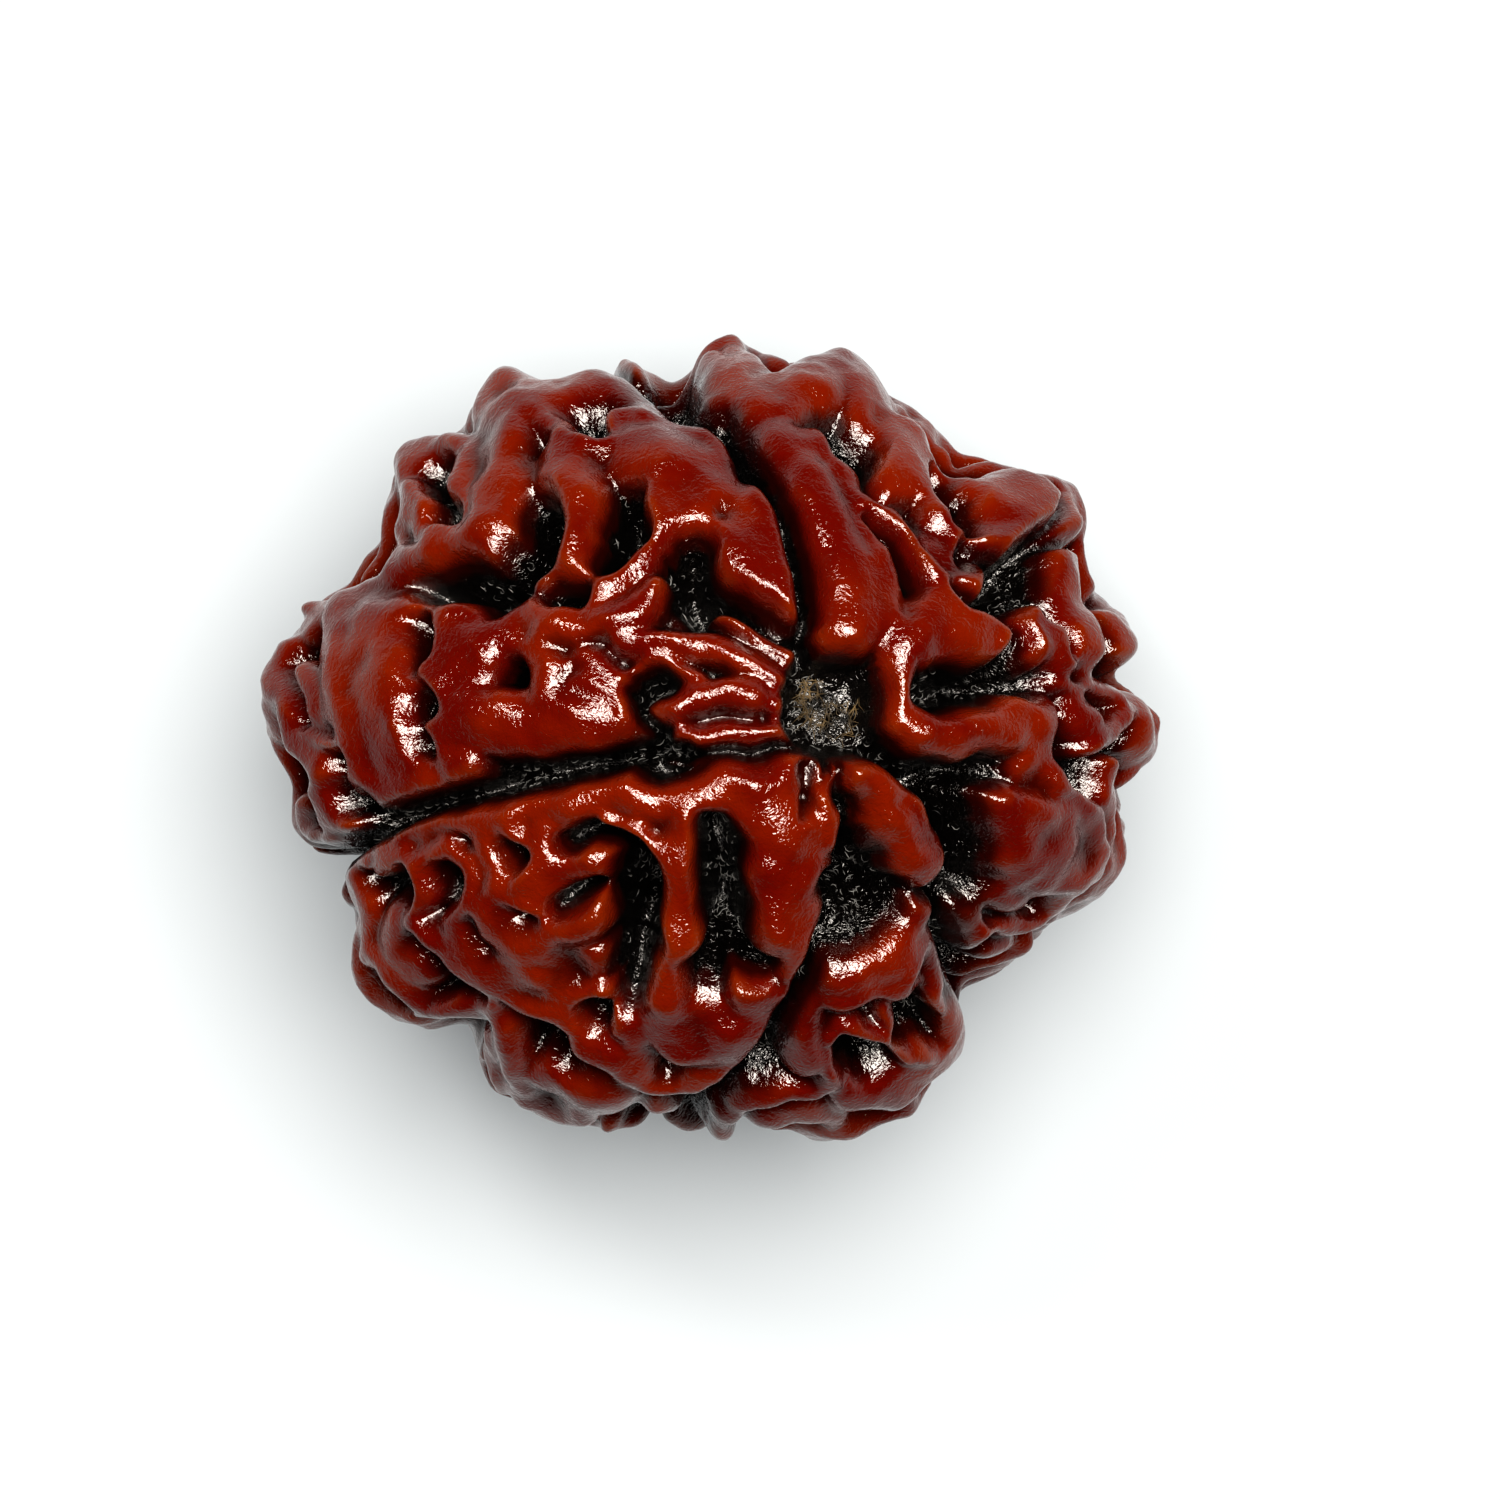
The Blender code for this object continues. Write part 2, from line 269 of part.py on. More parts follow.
# Pits and dark valleys of the upper side: half width, depth, and points
PITS = [
    (0.35, 0.9, [(-6.8, 5.9)]),
    (0.42, 1.2, [(-7.2, 4.1), (-6.4, 4.15), (-5.7, 4.05), (-5.1, 3.9)]),
    (0.42, 1.2, [(-5.0, 4.6), (-4.5, 4.9), (-4.3, 5.4), (-4.4, 6.0)]),
    (0.38, 1.0, [(-7.35, 2.45)]),
    (0.34, 0.8, [(-7.25, 0.95)]),
    (0.26, 0.3, [(-7.4, 0.0)]),
    (0.26, 0.6, [(-9.4, -0.4)]),
    (0.21, 0.9, [(-5.1, 1.75)]),
    (0.25, 0.8, [(-2.9, 7.95)]),
    (0.34, 1.1, [(-2.1, 6.3), (-2.1, 5.7), (-2.1, 5.3), (-2.5, 4.9), (-2.8, 4.7)]),
    (0.26, 0.7, [(-4.0, 3.85), (-3.4, 3.85)]),
    (0.40, 1.0, [(-0.4, 5.0), (-0.4, 4.4), (-0.3, 3.8)]),
    (0.30, 0.5, [(0.0, 3.7), (0.7, 3.7), (1.5, 3.2), (2.1, 2.9)]),
    (0.36, 0.8, [(-1.6, 1.5), (-1.2, 1.5)]),
    (0.42, 1.2, [(3.5, 7.6), (3.85, 7.4)]),
    (0.32, 1.2, [(6.0, 6.6), (6.35, 6.2), (6.5, 5.6)]),
    (0.17, 0.7, [(8.5, 6.3), (8.5, 5.8), (8.3, 5.3)]),
    (0.16, 0.6, [(8.5, 5.1), (9.0, 5.0), (9.4, 5.05)]),
    (0.15, 0.5, [(6.5, 4.95), (6.9, 4.9), (7.3, 4.8)]),
    (0.15, 0.6, [(6.2, 4.0), (6.6, 3.6), (6.9, 3.4)]),
    (0.18, 0.8, [(7.5, 3.3), (7.75, 2.8), (7.75, 2.2)]),
    (0.15, 0.6, [(8.5, 3.4), (8.8, 2.9), (9.0, 2.4)]),
    (0.15, 0.6, [(4.1, 5.6), (4.6, 5.2), (4.9, 4.7), (5.0, 4.2)]),
    (0.15, 0.6, [(5.7, 6.9), (5.75, 6.4), (6.1, 6.0)]),
    (0.20, 0.35, [(-7.5, 3.2), (-7.45, 2.5), (-7.5, 1.9)]),
    (0.20, 0.35, [(-7.45, 1.3), (-7.4, 0.7), (-7.5, 0.1)]),
    (0.42, 1.2, [(8.2, 4.8), (7.9, 4.4), (7.6, 4.0), (7.4, 3.6)]),
    (0.42, 1.1, [(5.9, 1.3), (6.6, 1.5), (7.3, 1.65), (7.8, 1.75)]),
    (0.30, 0.5, [(8.9, -0.2), (9.3, -0.8)]),
    (0.36, 0.8, [(5.8, -0.9), (6.4, -0.9), (7.0, -0.8)]),
    (0.55, 0.8, [(6.5, -1.8), (6.8, -2.6), (6.8, -3.4)]),
    (0.42, 1.3, [(0.1, -2.3), (0.2, -3.0), (0.3, -3.8), (0.4, -4.6), (0.4, -5.2), (0.1, -5.7)]),
    (0.28, 0.7, [(0.9, -5.6), (1.4, -5.7)]),
    (0.50, 1.4, [(3.5, -3.7), (4.0, -4.0), (4.5, -4.1)]),
    (0.44, 1.1, [(5.15, -6.75), (5.1, -7.1)]),
    (0.44, 1.1, [(3.6, -7.85), (4.0, -8.05)]),
    (0.20, 0.8, [(-3.6, -2.4), (-3.0, -2.25), (-2.4, -2.3), (-1.9, -2.6)]),
    (0.46, 1.3, [(-1.9, -3.1), (-1.85, -4.0), (-1.85, -4.8)]),
    (0.34, 0.9, [(-2.0, -5.1), (-2.05, -5.8), (-2.1, -6.3)]),
    (0.20, 0.7, [(-3.9, -4.05), (-3.4, -3.85), (-2.9, -3.65)]),
    (0.28, 0.9, [(-7.8, -3.4), (-7.9, -3.6)]),
    (0.42, 0.5, [(-6.7, -3.5)]),
    (0.28, 0.7, [(-4.95, -2.7)]),
    (0.38, 0.5, [(-2.9, -6.8)]),
    (0.32, 0.4, [(-7.5, -5.0), (-6.9, -5.6), (-6.1, -6.2)]),
    (0.30, 0.4, [(-8.3, -5.8), (-7.7, -6.4)]),
    (0.36, 0.7, [(-4.4, -7.1), (-4.0, -7.5), (-3.6, -7.9)]),
    (0.28, 0.5, [(0.1, -8.9), (-0.5, -9.2)]),
    (0.15, 0.4, [(-1.5, 0.3), (-1.8, 0.9), (-2.1, 1.3)]),
    (0.13, 0.4, [(2.45, -0.6), (2.45, -1.2), (2.25, -1.8)]),
    (0.13, 0.45, [(-0.6, -0.2), (0.2, -0.25), (1.2, -0.2), (2.2, -0.15)]),
    (0.14, 0.5, [(3.35, -0.7), (3.45, -1.4), (3.6, -2.2)]),
    (0.13, 0.4, [(2.5, 2.2), (2.45, 3.0)]),
]

# The square hollow at the stalk end
STALK_HOLLOW = [(2.9, 0.7), (3.5, 0.7), (3.55, 1.25), (2.95, 1.35), (2.9, 0.7)]
STALK_HOLLOW_REACH = 0.92
STALK_HOLLOW_DEPTH = 1.7

# The same end on the hidden side, a plain round hollow
FAR_HOLLOW_REACH = 0.9
FAR_HOLLOW_DEPTH = 1.3

# Height where the drawn side gives way to the hidden side, and how softly
RIM_TOP = 2.6
RIM_BAND = 2.2

# How wide the slope beside a cleft is, and how wide the clefts of the hidden side are
CLEFT_SLOPE_REACH = 1.3
LOWER_CLEFT_HALF_WIDTH = 0.3


def smooth_round(values, reach):
    """Average a closed ring of values over a number of neighbours on each side."""
    steps = range(-reach, reach + 1)
    weights = [math.exp(-2.0 * (step / (reach + 1)) ** 2) for step in steps]
    total = sum(weight * np.roll(values, step) for weight, step in zip(weights, steps))
    return total / sum(weights)


def outline_tables():
    """Radius of the bead's outline every half degree, as drawn and evened out."""
    azimuths = np.array([math.atan2(y, x) for x, y in OUTLINE])
    radii = np.array([math.hypot(x, y) for x, y in OUTLINE])
    ring = np.radians(np.arange(0.0, 360.0, 0.5))
    drawn = np.interp(ring, azimuths, radii, period=2 * math.pi)
    return ring, smooth_round(drawn, 3), smooth_round(drawn, 40)


RING, DRAWN_RADIUS, EVEN_RADIUS = outline_tables()


def unit(vectors):
    """Scale vectors to length one."""
    return vectors / np.linalg.norm(vectors, axis=-1, keepdims=True)


def crest_points(directions, radii):
    """Points of the rounded body with this outline, in the given directions."""
    azimuths = np.arctan2(directions[:, 1], directions[:, 0])
    outline = np.interp(azimuths, RING, radii, period=2 * math.pi)
    flat = np.hypot(directions[:, 0], directions[:, 1])
    reach = 1.0 / np.sqrt((flat / outline) ** 2 + (directions[:, 2] / HALF_HEIGHT) ** 2)
    return directions * reach[:, None]


def on_upper_side(points):
    """Lay points drawn in plan view on the upper half of the crest surface."""
    plan = np.array(points, dtype=float)
    azimuths = np.arctan2(plan[:, 1], plan[:, 0])
    outline = np.interp(azimuths, RING, EVEN_RADIUS, period=2 * math.pi)
    share = np.hypot(plan[:, 0], plan[:, 1]) / outline
    inside = np.minimum(share, 0.995)
    plan *= (inside / np.maximum(share, 1e-6))[:, None]
    height = HALF_HEIGHT * np.sqrt(1.0 - inside**2)
    return np.column_stack([plan, height])


def as_seen(points):
    """Points with their height differences lessened, as strokes are measured."""
    return points * np.array([1.0, 1.0, STEEPNESS_SHARE])


def nearby(places, path, margin):
    """Which places lie inside the path's own box, grown by a margin."""
    low = path.min(axis=0) - margin
    high = path.max(axis=0) + margin
    return np.nonzero(np.all((places > low) & (places < high), axis=1))[0]


def path_distance(places, path):
    """Shortest distance from each place to a path of straight runs."""
    if len(path) == 1:
        return np.linalg.norm(places - path[0], axis=1)
    nearest = np.full(len(places), np.inf)
    for start, end in zip(path[:-1], path[1:]):
        run = end - start
        along = np.clip((places - start) @ run / (run @ run), 0.0, 1.0)
        gap = np.linalg.norm(places - start - along[:, None] * run, axis=1)
        nearest = np.minimum(nearest, gap)
    return nearest


def ridge_height(distance, half_width):
    """A rounded ridge's surface, from 0 on its crest down its steep sides."""
    reach = distance / (half_width * RIDGE_SPREAD)
    dome = np.clip(1.0 - reach**2, 0.0, None) ** RIDGE_FULLNESS
    foot = np.clip(reach - 1.0, 0.0, None)
    return RELIEF_DEPTH * (dome - 1.0) - 3.0 * foot


def dip(distance, half_width):
    """A smooth hollow, 1 at its middle and 0 away from it."""
    return np.exp(-((distance / half_width) ** 2))


def pit(distance, half_width):
    """A steep-sided hollow, 1 over its floor and 0 away from it."""
    return np.exp(-((distance / (1.1 * half_width)) ** 3))


def waves(places, wavelength, count, seed):
    """A seeded sum of plane waves, and the distance to the lines where it is nought."""
    draw = np.random.default_rng(seed)
    ways = unit(draw.normal(size=(count, 3))) * (2 * math.pi / wavelength)
    phases = draw.uniform(0.0, 2 * math.pi, count)
    angles = places @ ways.T + phases
    value = np.cos(angles).sum(axis=1)
    slope = -np.sin(angles) @ ways
    outward = unit(places)
    slope -= (slope * outward).sum(axis=1)[:, None] * outward
    steepness = np.linalg.norm(slope, axis=1) + 0.15 * math.sqrt(count) * 2 * math.pi / wavelength
    return value / math.sqrt(count), np.abs(value) / steepness


def wandered(places, wavelength, reach, seeds):
    """Places moved about a little, so that what is read there winds."""
    moves = [waves(places, wavelength, 16, seed)[0] for seed in seeds]
    return places + reach * np.column_stack(moves)


def stroke_places(places):
    """Where the drawn strokes are read, out of line a little so that no edge is ruled."""
    return as_seen(wandered(places, 1.25, EDGE_WANDER, (51, 52, 53)))


def lower_clefts():
    """The four clefts below the rim, each on a gently waved arc to the far end of the bead."""
    far_end = -on_upper_side([STALK_END])[0]
    paths = []
    for number, rim in enumerate(CLEFT_RIMS):
        start = unit(on_upper_side([rim])[0])
        end = unit(far_end)
        sideways = unit(np.cross(start, end))
        shares = np.linspace(0.0, 1.0, 16)
        turn = math.acos(float(start @ end))
        arc = [
            math.sin((1 - share) * turn) * start + math.sin(share * turn) * end
            for share in shares
        ]
        swing = 0.07 * np.sin(shares * math.pi * 3 + number)
        swing *= np.sin(shares * math.pi)
        directions = unit(unit(np.array(arc)) + swing[:, None] * sideways)
        paths.append(crest_points(directions, EVEN_RADIUS))
    return paths


def hidden_share(places):
    """0 on the upper side, 1 on the hidden side, with a soft change near the rim."""
    share = np.clip((RIM_TOP - places[:, 2]) / RIM_BAND, 0.0, 1.0)
    return share * share * (3 - 2 * share)


def build_ridges(places, seen):
    """Height of the ridges over and under the crest surface."""
    rough, _ = waves(places, 1.9, 24, seed=11)
    floor = -RELIEF_DEPTH + VALLEY_ROUGHNESS * rough
    total = np.exp(floor / RIDGE_BLEND)
    faces = UPPER_LEFT_RIDGES + UPPER_RIGHT_RIDGES + RIGHT_RIDGES
    faces = faces + LOWER_RIGHT_RIDGES + LOWER_LEFT_RIDGES
    for half_width, crest, points in faces:
        path = as_seen(on_upper_side(points))
        close = nearby(seen, path, 2.0 * half_width + 0.4)
        height = crest + ridge_height(path_distance(seen[close], path), half_width)
        total[close] += np.exp(height / RIDGE_BLEND)
    hidden = hidden_share(places)
    sway, _ = waves(places, 5.0, 12, seed=5)
    winding = wandered(places, 3.0, NET_WANDER, (31, 32, 33))
    for seed, wavelength, half_width in HIDDEN_NET:
        _, distance = waves(winding, wavelength, 14, seed)
        height = 0.12 * sway + ridge_height(distance, half_width + 0.07 * sway)
        total += np.exp((height - 3.0 * (1 - hidden)) / RIDGE_BLEND)
    foot = np.linalg.norm(places - np.array([0.0, 0.0, -HALF_HEIGHT]), axis=1)
    total += np.exp((0.2 + ridge_height(foot, FOOT_KNOB_RADIUS)) / RIDGE_BLEND)
    uneven, _ = waves(places, 1.5, 24, seed=12)
    return RIDGE_BLEND * np.log(total) + CREST_UNEVENNESS * uneven


def cut_hollows(places, seen, height):
    """Sink the pits, the clefts and the hollows at both ends."""
    for half_width, depth, points in PITS:
        path = as_seen(on_upper_side(points))
        close = nearby(seen, path, 3.0 * half_width)
        hollow = pit(path_distance(seen[close], path), half_width)
        height[close] -= PIT_DEEPENING * depth * hollow
    gap = path_distance(places, on_upper_side(STALK_HOLLOW))
    ragged, _ = waves(places, 1.3, 16, seed=41)
    hollow = np.exp(-((gap / (STALK_HOLLOW_REACH + 0.09 * ragged)) ** 6))
    height = height * (1.0 - hollow) - STALK_HOLLOW_DEPTH * hollow
    away_from_stalk = 1.0 - dip(gap, 3.2)
    slope = np.zeros(len(places))
    for half_width, points in CLEFTS:
        path = on_upper_side(points)
        gap = path_distance(places, path)
        slope = np.maximum(slope, dip(gap, CLEFT_SLOPE_REACH))
        height -= CLEFT_DEPTH * dip(gap, half_width) * (1.0 - hollow)
    height -= CLEFT_SLOPE * slope * away_from_stalk
    foot = np.linalg.norm(places - np.array([0.0, 0.0, -HALF_HEIGHT]), axis=1)
    clear_of_foot = np.clip(foot / FOOT_RADIUS - 1.0, 0.0, 1.0)
    slope = np.zeros(len(places))
    for path in lower_clefts():
        gap = path_distance(places, path)
        slope = np.maximum(slope, dip(gap, CLEFT_SLOPE_REACH))
        height -= CLEFT_DEPTH * dip(gap, LOWER_CLEFT_HALF_WIDTH) * clear_of_foot
    height -= CLEFT_SLOPE * slope * clear_of_foot
    far_end = -on_upper_side([STALK_END])[0]
    gap = np.linalg.norm(places - far_end, axis=1)
    height -= FAR_HOLLOW_DEPTH * dip(gap, FAR_HOLLOW_REACH) * clear_of_foot
    return height


def bead_surface(directions):
    """The bead's surface in each of the given directions, and its height over the crests."""
    places = crest_points(directions, EVEN_RADIUS)
    drawn = crest_points(directions, DRAWN_RADIUS)
    near_rim = np.exp(-((directions[:, 2] / 0.4) ** 2))[:, None]
    body = places + (drawn - places) * near_rim
    seen = stroke_places(places)
    height = cut_hollows(places, seen, build_ridges(places, seen))
    return body + directions * height[:, None], height


def fit_to_size(points):
    """Flatten the foot, then bring the box to its length, width and height, on the ground."""
    sole = -HALF_HEIGHT + FOOT_RADIUS**2 / (2 * HALF_HEIGHT)
    points[:, 2] = np.maximum(points[:, 2], sole)
    low = points.min(axis=0)
    high = points.max(axis=0)
    size = np.array([LENGTH, WIDTH, HEIGHT])
    middle = (low + high) / 2
    points = (points - middle) * size / (high - low)
    points[:, 2] += HEIGHT / 2
    return points


def seed_stone_material():
    """Oiled red-brown seed stone."""
    material = bpy.data.materials.new("oiled_seed_stone")
    material.use_nodes = True
    shader = material.node_tree.nodes["Principled BSDF"]
    shader.inputs["Base Color"].default_value = (0.19, 0.014, 0.004, 1.0)
    shader.inputs["Roughness"].default_value = 0.3
    shader.inputs["Metallic"].default_value = 0.0
    return material


def soften_and_thin(bead):
    """Round the creases a little, then thin the mesh where it is flattest."""
    softener = bead.modifiers.new("soften", "SMOOTH")
    softener.factor = 0.5
    softener.iterations = SOFTENING_ROUNDS
    thinner = bead.modifiers.new("thin", "DECIMATE")
    thinner.ratio = TRIANGLE_LIMIT / len(bead.data.polygons)
    bpy.context.view_layer.objects.active = bead
    bpy.ops.object.modifier_apply(modifier="soften")
    bpy.ops.object.modifier_apply(modifier="thin")


def read_points(mesh):
    """The mesh's vertices as rows of numbers."""
    flat = np.empty(len(mesh.vertices) * 3, dtype=np.float32)
    mesh.vertices.foreach_get("co", flat)
    return flat.reshape(-1, 3).astype(float)


def place_points(mesh, points):
    """Move the mesh's vertices to these places."""
    mesh.vertices.foreach_set("co", points.astype(np.float32).ravel())
    mesh.update()


def build_bead():
    """The whole bead, one solid."""
    bpy.ops.mesh.primitive_ico_sphere_add(subdivisions=SPHERE_SUBDIVISIONS, radius=1.0)
    bead = bpy.context.object
    bead.name = NODE_NAME
    bead.data.name = NODE_NAME
    directions = unit(read_points(bead.data))
    surface, _ = bead_surface(directions)
    place_points(bead.data, surface)
    soften_and_thin(bead)
    points = fit_to_size(read_points(bead.data))
    place_points(bead.data, points * MILLIMETRE)
    bead.data.shade_smooth()
    bead.data.materials.append(seed_stone_material())
    return bead


def clear_scene():
    """Remove what the file opened with."""
    for item in list(bpy.data.objects):
        bpy.data.objects.remove(item, do_unlink=True)


clear_scene()
build_bead()
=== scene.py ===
"""Looks of the four mukhi rudraksha bead: fine surface, fibres in the pits, oiled finish."""

import math

import bpy
import numpy as np
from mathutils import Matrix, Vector


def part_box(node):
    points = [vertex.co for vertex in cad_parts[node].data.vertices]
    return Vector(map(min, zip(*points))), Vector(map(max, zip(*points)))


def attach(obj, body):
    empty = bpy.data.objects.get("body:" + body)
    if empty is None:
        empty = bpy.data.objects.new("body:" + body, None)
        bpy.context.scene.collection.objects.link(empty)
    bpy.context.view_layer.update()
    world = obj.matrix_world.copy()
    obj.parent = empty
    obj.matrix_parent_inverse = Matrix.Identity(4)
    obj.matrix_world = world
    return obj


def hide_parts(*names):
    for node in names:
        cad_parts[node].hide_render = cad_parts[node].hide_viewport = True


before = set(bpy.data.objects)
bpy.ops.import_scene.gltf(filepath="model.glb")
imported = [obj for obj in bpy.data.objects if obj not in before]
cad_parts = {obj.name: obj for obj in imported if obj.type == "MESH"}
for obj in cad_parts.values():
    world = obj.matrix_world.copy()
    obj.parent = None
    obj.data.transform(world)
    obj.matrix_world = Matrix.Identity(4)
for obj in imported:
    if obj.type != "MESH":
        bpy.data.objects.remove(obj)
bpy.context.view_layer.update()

NODE = "rudraksha_bead"
LOW, HIGH = (np.array(corner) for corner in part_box(NODE))
MILLIMETRE = 0.001

# Sizes in millimetres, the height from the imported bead
HEIGHT = (HIGH[2] - LOW[2]) / MILLIMETRE
HALF_HEIGHT = HEIGHT / 2
RELIEF_DEPTH = 1.15
FOOT_RADIUS = 2.7
FOOT_KNOB_RADIUS = 2.1

# Share of a height difference that counts in a stroke's width
STEEPNESS_SHARE = 0.45

# How the ridges are rounded and how they run together
RIDGE_SPREAD = 1.5
RIDGE_FULLNESS = 0.38
RIDGE_BLEND = 0.14
VALLEY_ROUGHNESS = 0.16
CREST_UNEVENNESS = 0.06
PIT_DEEPENING = 1.3
CLEFT_DEPTH = 1.0
CLEFT_SLOPE = 0.3

# The net of ridges on the hidden side: seed, wavelength and half width of each set of lines
HIDDEN_NET = [(3, 6.4, 0.34), (8, 5.6, 0.30), (21, 7.4, 0.26)]
NET_WANDER = 0.22

# How far the edges of the drawn strokes wander
EDGE_WANDER = 0.085

# The fine surface
SPHERE_SUBDIVISIONS = 8
SOFTENING_ROUNDS = 6
TRIANGLE_LIMIT = 196000

# Fine wrinkles: folds, creases and grit, with more grit on the floors of the pits
FOLD_LENGTH = 1.5
FOLD_HEIGHT = 0.030
CREASE_LENGTH = 0.75
CREASE_HEIGHT = 0.018
GRIT_LENGTH = 0.5
GRIT_HEIGHT = 0.006
PIT_GRIT_HEIGHT = 0.055
PIT_GRIT_START = 0.75
PIT_GRIT_BAND = 0.7

# The crinkles of the finish, finer than the mesh
CRINKLE_HEIGHT = 0.04

# Rounds of evening out that leave the shape near a point, and the wider shape round it
NEAR_ROUNDS = 5
WIDE_ROUNDS = 60

# Dry fibres in the pits and clefts: how many, their runs, and where they lie
PIT_FIBRE_COUNT = 5200
PIT_FIBRE_RUNS = (0.08, 0.26)
PIT_FIBRE_THICKNESS = 0.034
PIT_FIBRE_LIFT = 0.03
PIT_FIBRE_DEPTH = 1.2
STALK_CLEARANCE = 0.8

# Longer fibres in the hollow at the stalk end
STALK_FIBRE_COUNT = 110
STALK_FIBRE_RUNS = (0.3, 0.9)
STALK_FIBRE_THICKNESS = 0.024
STALK_FIBRE_LIFT = 0.05
STALK_FIBRE_REACH = 1.05

# How each fibre is drawn: its points, how hard it may curl, and how thin its tips are
FIBRE_POINTS = 4
FIBRE_CURL = 2.2
FIBRE_TIP = 0.25
FIBRE_CLEARANCE = 0.01

# Outline of the bead seen from above, anticlockwise from +X
OUTLINE = [
    (11.2, 0.7), (10.5, 1.45), (10.05, 1.8), (10.75, 2.3), (10.6, 2.9), (10.1, 3.5), (9.6, 3.6),
    (9.4, 4.5), (9.3, 5.0), (9.5, 5.7), (9.0, 6.4), (8.1, 6.75), (7.0, 7.0), (6.1, 7.1), (5.5, 7.7),
    (5.0, 8.3), (4.3, 8.7), (4.0, 9.4), (3.1, 9.8), (2.2, 9.75), (1.6, 9.5), (0.9, 10.0),
    (0.3, 10.1), (-0.3, 9.9), (-0.7, 9.2), (-1.1, 8.9), (-1.35, 9.2), (-2.0, 9.75), (-2.8, 9.75),
    (-3.6, 9.6), (-4.5, 9.2), (-5.3, 9.5), (-5.9, 8.9), (-6.1, 8.0), (-6.9, 7.85), (-7.6, 7.35),
    (-7.95, 7.0), (-7.95, 6.2), (-8.2, 5.4), (-8.3, 4.8), (-9.1, 4.05), (-9.9, 3.75), (-10.5, 3.0),
    (-11.0, 2.2), (-11.3, 0.9), (-11.0, 0.2), (-10.7, -1.0), (-10.6, -2.0), (-10.4, -2.8),
    (-9.5, -2.95), (-9.75, -3.4), (-9.3, -4.0), (-9.0, -4.6), (-9.1, -5.6), (-8.7, -6.25),
    (-8.1, -6.85), (-7.0, -7.1), (-6.0, -6.9), (-5.9, -7.8), (-5.5, -8.7), (-4.6, -9.0),
    (-3.6, -9.5), (-2.4, -9.7), (-1.3, -9.75), (0.1, -10.1), (1.2, -9.95), (1.9, -9.65),
    (3.7, -9.5), (4.8, -9.1), (6.0, -8.15), (6.6, -7.4), (6.5, -6.3), (6.5, -6.0), (7.1, -5.6),
    (7.8, -5.0), (8.6, -4.3), (9.7, -3.85), (10.15, -3.3), (10.25, -2.4), (10.5, -1.6),
    (10.4, -1.0), (11.0, 0.0),
]

# The stalk end, where the four clefts meet, and the point opposite it on the hidden side
STALK_END = (3.2, 1.0)

# Clefts of the upper side, from beside the stalk end to the rim: half width and points
CLEFTS = [
    (0.22, [(-0.7, -0.2), (-1.5, -0.1), (-2.0, -0.2), (-3.0, -0.5), (-4.0, -0.8), (-5.0, -1.05),
            (-6.0, -1.2), (-7.0, -1.45), (-7.8, -1.7), (-8.5, -2.1), (-9.0, -2.4),
            (-9.6, -2.85)]),
    (0.24, [(2.45, 3.2), (2.4, 4.2), (2.2, 5.0), (1.9, 6.0), (1.5, 6.7), (1.1, 7.3),
            (0.7, 7.8), (0.2, 8.3), (-0.3, 8.6), (-1.1, 8.9)]),
    (0.26, [(3.6, -2.4), (3.65, -3.3), (3.35, -4.1), (2.95, -4.9),
            (2.65, -5.6), (2.35, -6.3), (1.95, -6.9), (1.6, -7.5), (1.15, -8.1), (0.5, -8.65),
            (0.0, -8.95), (-0.4, -9.3)]),
    (0.30, [(4.6, -0.2), (5.2, -0.7), (5.8, -1.2), (6.3, -2.2), (6.5, -3.0), (6.2, -3.8),
            (6.0, -4.5), (6.2, -5.2), (6.55, -5.95)]),
]

# Where each cleft leaves the upper side, so that it can run on below to the other end
CLEFT_RIMS = [(-10.0, -2.95), (-1.2, 9.2), (-0.4, -9.7), (6.9, -6.2)]

